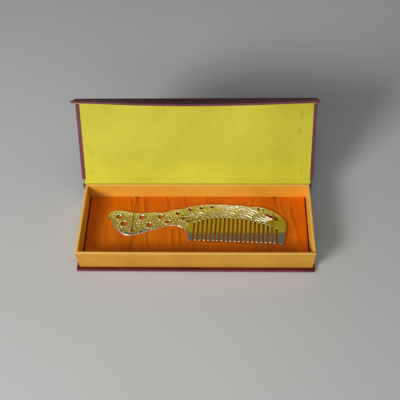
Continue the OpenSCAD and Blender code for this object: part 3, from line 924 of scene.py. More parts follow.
# Feather lines: width as a part of the full width, then the points they sweep through
featherLines = [
    (0.9, [(1.2, 39.9), (4.1, 36.7), (6.6, 34.6), (9.7, 32.6), (12.8, 30.2)]),
    (0.9, [(4.7, 41.2), (7.3, 37.6), (10.4, 35.6), (13.7, 34.6), (17, 33.8)]),
    (0.8, [(12.6, 39.5), (14.9, 38.3), (17.6, 38), (19.9, 38.4), (24, 38)]),
    (1.0, [(10.9, 28.1), (12.8, 30), (15.1, 31.4), (18.5, 33.3), (22.2, 35.5), (26.5, 37.2), (30.2, 38.9),
           (34.4, 40.4), (38.8, 41), (42.7, 40.6), (46.2, 39.6), (49.8, 38.5)]),
    (0.9, [(-2.6, 32), (-0.6, 32.6), (1.7, 33.1), (4.4, 32.8)]),
    (0.9, [(-3.2, 28.9), (0.2, 30.3), (2.7, 31), (5.6, 31), (8.9, 30.2)]),
    (0.9, [(0.9, 26.6), (3.2, 28.3), (6.1, 28.7), (9, 28.2)]),
    (1.0, [(17.4, 30), (20.7, 32.1), (24.4, 34), (28, 35.8), (32, 37.4), (36.5, 38), (41, 37.4), (45, 36),
           (48.6, 34.2)]),
    (1.0, [(23.6, 31.7), (28.5, 33), (33.5, 34.6), (38, 34.9), (42.4, 34.2), (46, 33)]),
    (0.8, [(28, 31.6), (33, 32.4), (38, 32.3), (43, 31.9)]),
    (0.9, [(25.6, 42.1), (30.6, 42.7), (36.5, 43.2), (42.6, 43), (47.1, 42), (51.6, 41), (54.6, 40)]),
    (0.8, [(36, 45.2), (40.6, 45), (45.7, 44.6), (50.9, 43.6), (55.4, 42.2), (58, 41)]),
    (1.0, [(45.8, 33.9), (48.6, 35.5), (51.7, 36.9), (54.9, 38.1), (57.9, 39.8), (60.2, 42)]),
    (0.8, [(50.4, 38.6), (53.2, 40.3), (56.2, 42.4), (58.4, 44.2)]),
    (1.0, [(51.4, 35.6), (55, 34.9), (58.9, 33.7), (62.1, 32.3), (64.6, 30.5)]),
    (0.9, [(48.7, 32.3), (51.9, 32.6), (55, 31.9), (58.2, 30.9)]),
    (1.0, [(55.6, 37.6), (59.4, 36.9), (62.6, 35.8), (65.4, 34.2)]),
    (0.9, [(59, 39.6), (61.9, 38.8), (64.8, 37.6), (67.4, 36)]),
    (0.9, [(61.4, 42), (64.4, 41), (67.3, 39.6), (69.8, 37.9)]),
    (0.7, [(70.6, 38.8), (72.6, 36.6), (75, 34.4), (77.6, 32.4), (80.6, 30.4), (83.6, 28.6)]),
    (0.7, [(68.6, 36.6), (70.6, 34.6), (72.8, 32.8), (75.7, 30.9), (78.8, 29.2), (82, 27.6)]),
    (0.7, [(66.4, 34.8), (68.7, 32.6), (71.4, 30.7), (74.6, 28.9), (77.6, 27.4), (80, 26.3)]),
    (0.7, [(73, 39.2), (75, 36.8), (77.4, 34.6), (80.2, 32.6), (83, 30.9), (85.8, 29.3)]),
    (0.7, [(65.4, 31.8), (67.5, 30.4), (69.8, 28.8), (72.8, 27)]),
]
# Cross stitches between the last feather lines
stitches = [
    (67.8, 35.6), (70.2, 33.1), (73.4, 30.8), (71.1, 36.6), (73.8, 33.9), (76.9, 31.5), (69.4, 38.2),
    (66.4, 32.9), (69.2, 30.8), (72, 29), (75.6, 35.2), (78.6, 32.2), (80, 29.2), (77, 28.6),
]
combPlace = (Matrix.Translation((combShape["place"][0] * mm, trayLow.y + combShape["place"][1] * mm,
                                 trayLow.z + combShape["place"][2] * mm))
             @ Matrix.Rotation(math.radians(-combShape["tilt"]), 4, "X")
             @ Matrix.Rotation(math.radians(-combShape["turn"]), 4, "Z"))


def gapOutline(i):
    # one gap between two teeth, from its right side over the root to its left side; it flares at the tips
    half = combShape["toothGap"] / 2
    flare = (combShape["toothPitch"] - combShape["toothGap"]) / 2
    u = combShape["firstGap"] + i * combShape["toothPitch"]
    root = along(rootArch, u) - half
    lean = 0.7 if i == combShape["thinTeeth"] else 0.0
    tip = [(flare * (1 - math.cos(a)), combShape["gapEnd"] - combShape["gapFlare"] * math.sin(a))
           for a in np.radians(range(0, 91, 15))]
    made = [(u + half + lean + out, v) for out, v in reversed(tip)]
    made += circle((u, root), half, 18)[:10]
    return made + [(u - half - out, v) for out, v in tip[:-1]]


def combOutline():
    end = combShape["firstGap"] + combShape["toothPitch"] * combShape["thinTeeth"] + combShape["lastGuard"]
    made = [tuple(p) for p in smoothLine(bellyEdge + backEdge, 4)]
    made += [(end + u, v) for u, v in lastTip]
    for i in range(combShape["thinTeeth"], -1, -1):
        made += gapOutline(i)[2 if i == combShape["thinTeeth"] else 0:]
    made = firstTip[-2:] + made + firstTip[:-2]
    return np.array(made[::-1])


def eyeOutline(eye, grow, steps=30):
    u, v, length, height, turn = eye
    made = []
    for k in range(steps):
        a = 2 * math.pi * k / steps
        x, y = turned((length / 2 + grow) * (math.cos(a) - 0.12 * math.cos(2 * a)),
                      (height / 2 + grow) * (math.sin(a) - 0.32 * math.sin(2 * a)), turn)
        made.append((u + x, v + y))
    return np.array(made)


def dropOutline():
    spine = smoothLine([(p[0], p[1]) for p in drop], 4)
    half = smoothLine([(p[0], p[2]) for p in drop], 4)[:, 1:]
    side = sideways(spine)
    return np.concatenate([spine + side * half, (spine - side * half)[::-1]])


def sideways(line):
    # unit vectors to the left of an open line
    run = unitRows(np.gradient(line, axis=0))
    return np.stack([-run[:, 1], run[:, 0]], axis=1)


def signedArea(loop):
    nxt = np.roll(loop, -1, axis=0)
    return 0.5 * float(np.sum(loop[:, 0] * nxt[:, 1] - nxt[:, 0] * loop[:, 1]))


def unitRows(vectors):
    return vectors / np.linalg.norm(vectors, axis=1)[:, None]


def inset(loop, distance):
    # moves a closed loop to its left by this distance, one for all points or one for each
    before = unitRows(loop - np.roll(loop, 1, axis=0))
    after = unitRows(np.roll(loop, -1, axis=0) - loop)
    left = np.stack([-before[:, 1], before[:, 0]], axis=1)
    mitre = left + np.stack([-after[:, 1], after[:, 0]], axis=1)
    mitre /= np.maximum(np.linalg.norm(mitre, axis=1)[:, None], 0.4)
    stretch = 1 / np.maximum(np.sum(mitre * left, axis=1), 0.6)
    return loop + mitre * (stretch * distance)[:, None]


def edgeDistance(points, loops):
    # distance of each point to the nearest edge of the loops, for a few thousand points at a time
    best = np.full(len(points), 1e9)
    few = 4000
    for loop in loops:
        d = np.roll(loop, -1, axis=0) - loop
        size = np.sum(d * d, axis=1) + 1e-12
        for k in range(0, len(points), few):
            p = points[k:k + few, None, :] - loop[None, :, :]
            t = np.clip(np.sum(p * d[None], axis=2) / size[None], 0, 1)
            gap = p - t[..., None] * d[None]
            near = np.sqrt(np.min(np.sum(gap * gap, axis=2), axis=1))
            best[k:k + few] = np.minimum(best[k:k + few], near)
    return best


def insideLoops(points, loops):
    # odd number of crossings: inside the outline and outside the holes
    count = np.zeros(len(points), int)
    for loop in loops:
        for a, b in zip(loop, np.roll(loop, -1, axis=0)):
            if a[1] != b[1]:
                cross = (points[:, 1] >= min(a[1], b[1])) & (points[:, 1] < max(a[1], b[1]))
                x = a[0] + (points[:, 1] - a[1]) * (b[0] - a[0]) / (b[1] - a[1])
                count += cross & (x > points[:, 0])
    return count % 2 == 1


def crownHeight(u, distance):
    # the plate swells gently away from its edges, and less over the teeth
    swell = combShape["dome"] * (1 - math.exp(-((distance / 2.6) ** 2)))
    return swell * (0.55 if -1 < u < 97 else 1.0)


def fillLoops(loops, inner=()):
    # triangles between an outline and its holes, through the inner points too
    spots = []
    edges = []
    for loop in loops:
        start = len(spots)
        spots += [Vector(p) for p in loop]
        edges += [(start + k, start + (k + 1) % len(loop)) for k in range(len(loop))]
    spots += [Vector(p) for p in inner]
    done = delaunay_2d_cdt(spots, edges, [], 0, 1e-5)
    points = np.array([tuple(p) for p in done[0]])
    faces = np.array([tuple(f) for f in done[2]])
    middles = points[faces].mean(axis=1)
    return points, faces[insideLoops(middles, loops)].tolist()


class Metal:
    # collects the vertices, faces and recess values of the casting
    def __init__(self):
        self.points = []
        self.faces = []
        self.recess = []

    def add(self, points, faces, recess):
        start = len(self.points)
        self.points += [tuple(p) for p in points]
        self.faces += [tuple(i + start for i in f) for f in faces]
        self.recess += list(recess)


def noseDrop(u, v):
    # the upper side turns down at the tips of the thin teeth
    if u < combShape["firstGap"] or u > combShape["lastThin"]:
        return 0.0
    radius = combShape["nose"]
    reach = min(max(combShape["noseLength"] - v, 0), radius * 0.8)
    return radius - math.sqrt(radius ** 2 - reach ** 2)


def edgeShare(points):
    # how far the edge is rounded at each point of a loop: more at the roots of the gaps, less at the tips
    share = np.ones(len(points))
    half = combShape["toothGap"] / 2
    for k, (u, v) in enumerate(points):
        if 2 < u < 94 and 9 < v < along(rootArch, u) + 0.2:
            i = round((u - combShape["firstGap"]) / combShape["toothPitch"])
            root = along(rootArch, combShape["firstGap"] + i * combShape["toothPitch"]) - half
            share[k] += (combShape["rootEdge"] - 1) * smoothstep(0.3, 0.9, max(v - root, 0) / half)
        if v < 3 and -2 < u < 98:
            share[k] -= (1 - combShape["tipEdge"]) * (1 - smoothstep(1.4, 2.8, v))
    return share


def taperLift(u, v):
    # the plate gets thinner from below towards the tips
    slope = (combShape["plate"] - combShape["tipPlate"]) / combShape["taperFrom"]
    return max(combShape["taperFrom"] - v, 0) * slope * smoothstep(-9, -4, u)


def plateGrid(top):
    # evenly spaced points on the back and the handle, away from the edges; the teeth need none
    step = combShape["spacing"]
    rowStep = step * 0.866
    (left, right), (front, back) = combShape["reach"]
    rows = []
    for j in range(int((back - front) / rowStep)):
        us = np.arange(left, right, step) + (j % 2) * step / 2
        rows.append(np.stack([us, np.full(len(us), front + j * rowStep)], axis=1))
    grid = np.concatenate(rows)
    teeth = (grid[:, 0] > 2.2) & (grid[:, 0] < 94) & (grid[:, 1] < along(rootArch, grid[:, 0]) + 0.2)
    grid = grid[~teeth & insideLoops(grid, top)]
    return grid[edgeDistance(grid, top) > step * 0.55]


def addPlate(metal):
    loops = [combOutline()] + [eyeOutline(e, 0)[::-1] for e in eyes] + [dropOutline()]
    for i, loop in enumerate(loops):
        if (signedArea(loop) > 0) != (i == 0):
            loops[i] = loop[::-1]
    plate = combShape["plate"]
    edges = [combShape["edge"] * share
             for share in [edgeShare(loops[0])] + [np.ones(len(loop)) for loop in loops[1:]]]
    lowEdges = [np.minimum(edge, combShape["edge"]) for edge in edges]
    top = [inset(loop, edge) for loop, edge in zip(loops, edges)]
    flat, faces = fillLoops(top, plateGrid(top))
    heights = [plate + crownHeight(p[0], d) - noseDrop(*p) for p, d in zip(flat, edgeDistance(flat, top))]
    recess = [0.1 + 0.2 * handleShare(p[0]) + reliefLook["patina"] * backShare(*p) - 2.5 * noseDrop(*p)
              for p in flat]
    metal.add([(*p, h) for p, h in zip(flat, heights)], faces, recess)
    # the sides: rounded above and below
    above, below = 5, 4
    for loop, edge, lowEdge in zip(loops, edges, lowEdges):
        n = len(loop)
        points = []
        for k in range(above):
            a = math.pi / 2 * k / (above - 1)
            ring = inset(loop, edge * (1 - math.sin(a))) if k < above - 1 else loop
            points += [(*p, h - noseDrop(*p)) for p, h in zip(ring, plate - edge * (1 - math.cos(a)))]
        for k in range(below - 1, -1, -1):
            a = math.pi / 2 * k / (below - 1)
            ring = inset(loop, lowEdge * (1 - math.sin(a))) if k < below - 1 else loop
            points += [(*p, h + taperLift(*p)) for p, h in zip(ring, lowEdge * (1 - math.cos(a)))]
        # the walls of the openings and of the gaps between the teeth are never polished; on the gaps' walls
        # the dark tarnish is partly patina and partly painted shade
        deep = [0.35] * n
        bright = [0.7] * n
        if loop is loops[0]:
            # the roots of the gaps and the tips of the teeth shine
            # painted shade: the walls between the teeth go dark, partly tarnish and partly shade painted
            # into the gaps
            deep = [0.1 if u < 0 or v > 34 else 1.1 for u, v in loop]
            bright = [-0.9 if e > 1.3 * combShape["edge"] or v < 0.9 or (u < 0.6 and v < 14) else 0.1
                      for (u, v), e in zip(loop, edge)]
        sides = ringFaces([range(r * n, r * n + n) for r in range(above + below)])
        metal.add(points, sides, [0.1] * n + bright * 3 + deep * (above + below - 4))
    flat, faces = fillLoops([inset(loop, edge) for loop, edge in zip(loops, lowEdges)])
    metal.add([(*p, taperLift(*p)) for p in flat], [f[::-1] for f in faces], [0.3] * len(flat))


def handleShare(u):
    # 1 where the surface is covered with scales, 0 on the smooth part
    return 1 - smoothstep(*reliefLook["chasedFrom"], u)


def backShare(u, v):
    # 1 on the chased back over the teeth
    above = v - along(rootArch, u)
    return smoothstep(-0.5, 2.5, above) * (1 - handleShare(u)) * (1 - smoothstep(*reliefLook["chasedTo"], u))


def addRidge(metal, line, width, height, base, taper=0.3, sides=6):
    # a raised line with a round top, rooted in the plate; it gets thinner and lower towards its ends
    line = np.array(line, float)
    count = len(line)
    wide = sides + 1
    sink = 0.14
    points = []
    for i, (spot, side) in enumerate(zip(line, sideways(line))):
        swell = taper + (1 - taper) * max(math.sin(math.pi * i / (count - 1)), 0) ** 0.6
        for k in range(wide):
            a = math.pi * k / sides
            points.append((*(spot - side * math.cos(a) * width / 2 * swell),
                           base - sink + (height * swell + sink) * math.sin(a)))
    faces = ringFaces([range(i * wide, i * wide + wide) for i in range(count)])
    faces += [tuple(range(wide)), tuple(reversed(range((count - 1) * wide, count * wide)))]
    foot = [1.5 if k in (0, sides) else 0.0 if k in (1, sides - 1) else -1.0 for k in range(wide)]
    metal.add(points, faces, foot * count)


def addRings(metal, u, v, top, rings, around, recess):
    # a small round form from its top point down, rings as (radius, height)
    points = [(u, v, top)]
    for radius, height in rings:
        points += [(*p, height) for p in circle((u, v), radius, around)]
    faces = [(0, 1 + k, 1 + (k + 1) % around) for k in range(around)]
    faces += ringFaces([range(1 + r * around, 1 + (r + 1) * around) for r in range(len(rings))])
    metal.add(points, faces, recess)


def addPit(metal, u, v, radius, base):
    # the dark floor of a scale, where polish doesn't reach
    rings = [(radius * 0.7, base + 0.05), (radius, base + 0.04), (radius + 0.06, base - 0.1)]
    addRings(metal, u, v, base + 0.05, rings, 12, [1.7] + [1.6] * 12 + [1.3] * 24)


def addBead(metal, u, v, radius, height, base):
    # a small raised dot
    rings = [(radius * math.sin(a), base + height * math.cos(a) - sink)
             for a, sink in ((0.45, 0), (0.95, 0), (math.pi / 2, 0.12))]
    addRings(metal, u, v, base + height, rings, 8, [-0.8] * 25)


def nearEye(u, v, room):
    return any(math.hypot((u - e[0]) / (e[2] / 2 + room), (v - e[1]) / (e[3] / 2 + room)) < 1 for e in eyes)


def onHandle(u, v):
    border = reliefLook["border"]
    return (backEdge[1][0] < u < reliefLook["scaleEnd"] and v > along(bellyEdge[::-1], u) + border
            and v < along(backEdge, u) - border
            and (u < bellyEdge[2][0] - border or v > bellyEdge[1][1] + border))


def addScales(metal, base):
    draw = random.Random(reliefLook["seed"])
    pitch = reliefLook["scalePitch"]
    scatter = reliefLook["scatter"]
    for i in range(math.ceil((reliefLook["scaleEnd"] - reliefLook["scaleStart"]) / pitch)):
        for j in range(16):
            u = reliefLook["scaleStart"] + (i + (j % 2) / 2) * pitch
            v = reliefLook["firstRow"] + j * pitch * reliefLook["scaleRow"]
            if not onHandle(u, v) or nearEye(u, v, reliefLook["clearOfEye"]):
                continue
            u += draw.uniform(-scatter, scatter)
            v += draw.uniform(-scatter, scatter)
            lean = draw.uniform(-50, 50)
            radius = reliefLook["scaleRadius"] * draw.uniform(0.9, 1.12)
            # a curl, open towards the teeth, that winds in a little
            arc = []
            for k in range(12):
                x, y = turned(radius * (1 - 0.3 * (k / 11) ** 2), 0, 95 + 17 * k + lean)
                arc.append((u + x, v + y))
            addRidge(metal, arc, reliefLook["scaleWidth"], reliefLook["height"], base, 0.35)
            addPit(metal, u + 0.25 * radius, v, reliefLook["pit"], base)


def addEyes(metal, base):
    height = reliefLook["height"] * 0.8
    for e in eyes:
        rim = eyeOutline(e, reliefLook["eyeRim"], 36)
        ring = np.concatenate([rim[3:], rim[:1]])[:-2]
        addRidge(metal, ring, 0.5, height, base, 0.4)
        # a few barbs behind the blunt end of each eye
        for k in (-1, 0, 1) if e[0] > -3 else (-2, -1, 0, 1, 2):
            line = []
            for t in reliefLook["steps"]:
                a = math.pi + 0.5 * k + 0.1 * t
                away = 1.35 + 1.3 * t
                x, y = turned((e[2] / 2 + away) * math.cos(a), (e[3] / 2 + away) * math.sin(a), e[4])
                line.append((e[0] + x, e[1] + y))
            if all(isSolid(p, 0.6) for p in line):
                addRidge(metal, smoothLine(line, 3), 0.5, height, base, 0.3, 5)


def isSolid(point, room):
    u, v = point
    if nearEye(u, v, 0.9):
        return False
    low = along(bellyEdge[::-1], u) if u < 0 else along(rootArch, u)
    return low + room < v < along(backEdge, u) - room


def addBarbs(metal, path, base):
    # fine strokes that leave a feather line on both sides
    length, angle, width = reliefLook["barb"]
    for k in range(1, len(path) - 2, 2):
        near = Vector(path[k])
        run = (Vector(path[k + 1]) - near).normalized()
        run.rotate(Matrix.Rotation(math.radians(angle if k % 4 == 1 else -angle), 2))
        line = [near + run * (0.45 + length * t) for t in reliefLook["steps"]]
        if all(isSolid(spot, 0.6) for spot in line):
            addRidge(metal, line, width, reliefLook["height"] * 0.6, base - 0.02, 0.4, 4)


def addFeathers(metal, base):
    height = reliefLook["height"]
    for strength, line in featherLines:
        path = [p for p in smoothLine(line, 4) if isSolid(p, 0.7)]
        addRidge(metal, path, reliefLook["featherWidth"] * strength, height * 0.9 * strength, base)
        addBarbs(metal, path, base)
    c, s = turned(0.8, 0, 40)
    for u, v in stitches:
        line = [(u + t * c, v + t * s) for t in (-1, -0.5, 0, 0.5, 1)]
        addRidge(metal, line, 0.36, height * 0.6, base, 0.5, 5)
    # short barbs along the back
    for k in range(32):
        start = 15 + 1.45 * k
        for row, (down, length) in enumerate(((1.5, 1.4), (3.1, 1.2), (4.7, 1.0))):
            if row and start < 26 or row == 2 and start > 52:
                continue
            u = start + row * 0.8
            v = along(backEdge, u) - down
            line = [(u + t * length, v - t * length * 0.55) for t in reliefLook["steps"]]
            if not any(nearEye(*p, 0.7) for p in line):
                addRidge(metal, line, 0.46, height * 0.7, base - 0.03, 0.45, 5)


def addBorders(metal, base):
    for line, inwards in ((bellyEdge[1:-2], 0.8), (backEdge[2:-6], 0.85)):
        edge = smoothLine(line, 4)
        addRidge(metal, edge - sideways(edge) * inwards, 0.42, reliefLook["height"] * 0.6, base, 0.25)
    # fine dots along the back, on its far part
    for row, start in ((1.9, 54.0), (2.8, 60.0)):
        u = start
        while u < 92:
            v = along(backEdge, u) - row * (1.15 if u > 80 else 1.0)
            if not nearEye(u, v, 0.7):
                addBead(metal, u, v, 0.24, 0.2, base)
            u += 0.75 if u > 80 else 1.05


def makeComb():
    metal = Metal()
    plate, dome = combShape["plate"], combShape["dome"]
    addPlate(metal)
    addScales(metal, plate + dome)
    addEyes(metal, plate + dome * 0.55)
    addFeathers(metal, plate + dome * 0.55)
    addBorders(metal, plate)
    comb = meshObject("silverComb", [combPlace @ (Vector(p) * mm) for p in metal.points], metal.faces)
    mark = comb.data.attributes.new("recess", "FLOAT", "POINT")
    mark.data.foreach_set("value", np.array(metal.recess, np.float32))
    fixNormals(comb, 1e-7)
    shadeSmooth(comb)
    place(comb, "box", "silver", polishedSilver, ["comb"])
    print("comb made,", len(comb.data.polygons), "faces")


makeComb()


# Satin pad

padLook = {
    "edge": 4.2,  # millimetres, as all sizes here
    "crown": 2.75,
    "clothColumns": 136,
    "clothRows": 50,
    "columns": 300,
    "rows": 84,
    "slack": 0.0035,  # how much more satin there is than pad, across its width
    "frames": 26,
    "drawFrames": 12,
    "hollow": 1.3,  # how far the satin lies below the comb, away from the comb's edges
    "bulge": 1.4,  # how far it swells into the comb's openings
    "press": 0.12,  # how far it stays below what lies on it
    "rise": 0.95,  # the most that a wrinkle stands up or sinks in
    "sink": 0.35,
    "seed": 11,
    "seedHeight": 0.07,  # small random waves that the folds grow from
    "keep": 0.75,  # how much of the drawn wrinkles is added once more after the simulation
    "fill": 0.55,
}
clothRules = {
    "quality": 6, "mass": 0.15, "tension_stiffness": 12.0, "compression_stiffness": 12.0,
    "shear_stiffness": 4.0, "bending_stiffness": 0.35, "air_damping": 1.0,
}
# Height of the pad across its depth: place from the front edge to the back edge, part of the crown
padProfile = [
    (0, 0), (0.03, 0.36), (0.08, 0.68), (0.16, 0.92), (0.26, 1), (0.38, 0.92), (0.5, 0.79),
    (0.65, 0.64), (0.8, 0.49), (0.9, 0.38), (0.96, 0.24), (1, 0),
]
# Wrinkles in the satin: x at the front end, x at the back end, from, to (behind the pad's front edge),
# height, half width
wrinkles = [
    (-51.0, -52.4, 2, 33, 0.6, 1.5), (-39.4, -41.0, 3, 28, 0.35, 1.8), (-24.3, -25.8, 1, 37, 0.8, 1.3),
    (-16.6, -18.8, 16, 37, 0.65, 1.2), (-3.2, -3.8, 0, 21, 0.6, 1.2), (12.3, 12.6, 0, 19, 0.35, 1.4),
    (24.5, 24.6, 0, 20, 0.4, 1.4), (40.0, 41.0, 0, 17, 0.3, 1.4), (59.8, 60.0, 0, 20, 0.4, 1.3),
    (66.0, 66.2, 2, 19, 0.4, 1.2), (71.8, 71.4, 0, 20, 0.4, 1.2), (-93.0, -96.0, 5, 42, 0.3, 2.0),
    (-80.0, -83.0, 0, 22, 0.3, 1.8), (104.0, 101.6, 8, 37, 0.45, 1.6), (101.6, 95.6, 36, 66, 0.55, 1.5),
    (99.0, 97.2, 56, 80, 0.4, 1.4), (-70.4, -72.4, 58, 80, 0.5, 1.6), (-54.6, -57.0, 56, 80, 0.55, 1.5),
    (-31.6, -32.8, 62, 80, 0.45, 1.4), (-11.6, -15.0, 64, 80, 0.5, 1.5), (10.0, 8.0, 71, 80, 0.3, 1.6),
    (55.0, 58.0, 66, 80, 0.3, 1.7), (-100.0, -104.0, 48, 79, 0.35, 2.0), (88.0, 86.5, 60, 80, 0.3, 1.5),
]
tieLook = {
    "thick": 1.1,
    "threadThick": 0.32,
    "twist": 3.4,  # length of one turn of a thread
    "threads": 4,  # each way
    "step": 0.42,
    "notchWidth": 3.2,
    "notchDepth": 2.2,
    "groove": 1.65,  # under the pad
    # inwards from the notch, over the pad's underside
    "bend": [(0.1, 4.4), (0, 3.2), (0.1, 1.5), (0.9, 0.8)],
}
# Routes of the ties: x, distance behind the tray's front, height over the pad's underside, in millimetres
routeLeft = [
    (-67.4, 4, 5.4), (-67.3, 7, 6.7), (-67.2, 12, 7.3), (-67.1, 18, 7.6), (-67, 24, 8.4), (-66.9, 29.6, 9.8),
    (-66.6, 36, 9.7), (-66.4, 44, 9.5), (-66.2, 52, 9.2), (-66, 61, 8.9), (-65.4, 68, 7.6), (-65, 76, 6.2),
    (-64.7, 81.6, 5.3),
]
routeRight = [
    (75.4, 4, 5.4), (75.6, 7, 6.7), (75.9, 12, 7.5), (76.2, 16, 8.4), (76.6, 20.4, 9.9),
    (77.4, 30, 9.9), (78.4, 42, 9.6), (79.4, 54, 9.2), (80.1, 62.6, 8.8), (80.8, 70, 7.2), (81.4, 77, 6),
    (81.8, 81.6, 5.3),
]
padSize = (padHigh - padLow) / mm
padMiddle = (padLow + padHigh) / 2 / mm
padFront = padLow.y / mm
padUnder = padLow.z / mm
toPad = trayLow.y / mm - padFront


def padGrid(columns, rows):
    # places on the pad in millimetres, x from its middle and y from its front; rows are closer at the edges
    across = np.linspace(-padSize.x / 2, padSize.x / 2, columns + 1)
    t = np.linspace(0, 1, rows + 1)
    deep = padSize.y * (0.72 * t + 0.28 * (1 - np.cos(np.pi * t)) / 2)
    return across, deep


def padHeight(x, y):
    part = along(padProfile, y / padSize.y)
    return padLook["edge"] + padLook["crown"] * part * (1 - np.abs(2 * x / padSize.x) ** 8)


def wrinkleHeight(x, y):
    made = np.zeros_like(x)
    for x0, x1, start, end, height, half in wrinkles:
        t = np.clip((y - start) / (end - start), 0, 1)
        middle = x0 + (x1 - x0) * t + 0.5 * np.sin(t * 5 + x0)
        fade = np.sin(np.pi * np.clip((y - start + 2) / (end - start + 4), 0, 1)) ** 0.8
        off = (x - middle) / half
        made += height * fade * (np.exp(-off * off) - 0.3 * np.exp(-((off - 1.9) ** 2)))
    return made


def pillowNoise(x, y, seed):
    # soft folds that run from front to back
    draw = np.random.default_rng(seed)
    made = np.zeros_like(x)
    for k in range(46):
        wave = draw.uniform(0.12, 0.75)
        lean = draw.normal(0, 0.06)
        strength = draw.uniform(0.2, 1.0) / (1 + 2 * wave)
        start = draw.uniform(0, 6.28)
        sway = 0.6 * np.sin(0.09 * y + draw.uniform(0, 6.28))
        made += strength * np.sin(wave * (x + lean * y) + start + sway)
    return made / 9


def curveWeights(old, new):
    # the share that each old place has in each new one
    made = np.zeros((len(new), len(old)))
    for i, at in enumerate(np.interp(new, old, np.arange(len(old)))):
        k = min(int(at), len(old) - 2)
        for step, row in enumerate(np.eye(4), -1):
            made[i, min(max(k + step, 0), len(old) - 1)] += curvePoint(*row, at - k)
    return made


def resample(field, xOld, yOld, xNew, yNew):
    # smooth interpolation of a grid of heights, first along x and then along y
    return curveWeights(yOld, yNew) @ field @ curveWeights(xOld, xNew).T


def simulateSatin(xs, ys, base, seeds):
    # a sheet of satin cut a little wider than the pad: its border is drawn in to the pad's width, and the
    # extra cloth buckles into folds. It is made ten times its size, where the solver works well.
    up = 10 * mm
    gridX, gridY = np.meshgrid(xs, ys)
    spare = 1 + padLook["slack"]
    cut = np.stack([gridX.ravel() * spare, gridY.ravel(), (base + seeds).ravel()], axis=1) * up
    drawn = np.stack([gridX.ravel(), gridY.ravel(), base.ravel()], axis=1) * up
    cloth = meshObject("satinCloth", cut, gridFaces(len(xs), len(ys)))
    cloth.vertex_groups.new(name="held").add(gridRim(len(xs), len(ys)), 1.0, "REPLACE")
    cloth.shape_key_add(name="cut")
    key = cloth.shape_key_add(name="drawnIn")
    key.data.foreach_set("co", drawn.ravel())
    for number, value in ((1, 0.0), (padLook["drawFrames"], 1.0)):
        key.value = value
        key.keyframe_insert("value", frame=number)
    rule = cloth.modifiers.new("satin", "CLOTH")
    for name, value in clothRules.items():
        setattr(rule.settings, name, value)
    rule.settings.vertex_group_mass = "held"
    rule.settings.effector_weights.gravity = 0
    rule.collision_settings.use_collision = False
    rule.collision_settings.use_self_collision = False
    rule.point_cache.frame_start = 1
    rule.point_cache.frame_end = padLook["frames"]
    for number in range(1, padLook["frames"] + 1):
        bpy.context.scene.frame_set(number)
    moved = cloth.evaluated_get(bpy.context.evaluated_depsgraph_get()).data
    spots = np.zeros(cut.size)
    moved.vertices.foreach_get("co", spots)
    spots = spots.reshape(len(ys), len(xs), 3) / up
    bpy.data.objects.remove(cloth)
    bpy.context.scene.frame_set(1)
    # the folds' heights, over where they ended up
    height = np.array([np.interp(xs, np.maximum.accumulate(row[:, 0]), row[:, 2]) for row in spots])
    return height - base


def tieLine(route):
    # the closed centre line of a tie, in millimetres from the pad's front edge and underside
    front, rear = route[0][0], route[-1][0]
    near = tieLook["thick"] / 2 + 0.25
    made = [(x, y + toPad, z) for x, y, z in route]
    made += [(rear, padSize.y - near - y, z) for y, z in tieLook["bend"]]
    made += [((front + rear) / 2, padSize.y / 2, 0.8)]
    return made + [(front, near + y, z) for y, z in reversed(tieLook["bend"])]


def tieAt(route, y):
    # x and height of a tie over the pad, this far behind the pad's front edge
    return [along([(p[1] + toPad, p[k]) for p in route], y) for k in (0, 2)]


def combUnderside(x, y):
    # for places on the pad: how far inside the comb's outline they are, its underside's height there,
    # and the place in the comb's own measures
    back = combPlace.inverted()
    spots = np.array([back @ Vector((a * mm, (b + padFront) * mm, combPlace.translation.z))
                      for a, b in zip(x, y)])
    uv = spots[:, :2] / mm
    closed = [np.array([(0, 0)] + [tuple(p) for p in smoothLine(bellyEdge + backEdge, 3)] + [(96, 0)])]
    gap = edgeDistance(uv, closed)
    reach = np.where(insideLoops(uv, closed), gap, -gap)
    height = np.array([(combPlace @ Vector((u * mm, v * mm, 0))).z / mm - padUnder for u, v in uv])
    return reach, height, uv[:, 0], uv[:, 1]


def satinLift(xs, ys):
    # the height of the folds over the pad's crowned form
    gridX, gridY = np.meshgrid(xs, ys)
    border = np.minimum.reduce([gridX + padSize.x / 2, padSize.x / 2 - gridX, gridY, padSize.y - gridY])
    calm = np.clip(border / 4, 0, 1)
    drawn = wrinkleHeight(gridX, gridY)
    seeds = (drawn + padLook["seedHeight"] * pillowNoise(gridX, gridY, padLook["seed"])) * calm
    lift = simulateSatin(xs, ys, padHeight(gridX, gridY), seeds) + padLook["keep"] * drawn * calm
    return np.clip(lift, -padLook["sink"], padLook["rise"])


def underComb(gridX, gridY):
    # the comb presses on the satin: the most height that there is for it
    spots = combUnderside(gridX.ravel(), gridY.ravel())
    reach, under, combU, combV = (a.reshape(gridX.shape) for a in spots)
    room = under - padLook["press"] + np.clip(-reach / 1.5, 0, 4) * 0.8
    # it lies a little below the teeth, which keeps the gaps between them dark
    room -= np.clip(reach / 0.8 - 1, 0, 1) * np.clip(gridX / 4, 0.2, 1) * padLook["hollow"]
    # and it swells up a little in the openings of the handle
    for u, v, length, height, turn in eyes:
        offU, offV = turned(combU - u, combV - v, -turn)
        far = (2 * offU / length) ** 2 + (2 * offV / height) ** 2
        room += np.clip(1 - far, 0, 1) * padLook["bulge"] * min(height / 4, 1)
    return room


def turnDown(points, rim, total):
    # rings from the pad's upper rim to its lower one, where the satin turns down over the edge
    rings = [rim]
    for share, out in ((0.1, 0.1), (0.45, 0.12), (0.8, 0.05)):
        ring = []
        for i in rim:
            spot = Vector(points[i]).lerp(Vector(points[i + total]), share)
            for axis in (0, 1):
                side = (spot[axis] - padMiddle[axis] * mm) / (padSize[axis] * mm / 2)
                if abs(side) > 0.999:
                    spot[axis] += math.copysign(out, side) * mm
            ring.append(len(points))
            points.append(tuple(spot))
        rings.append(ring)
    return rings + [[i + total for i in rim]]


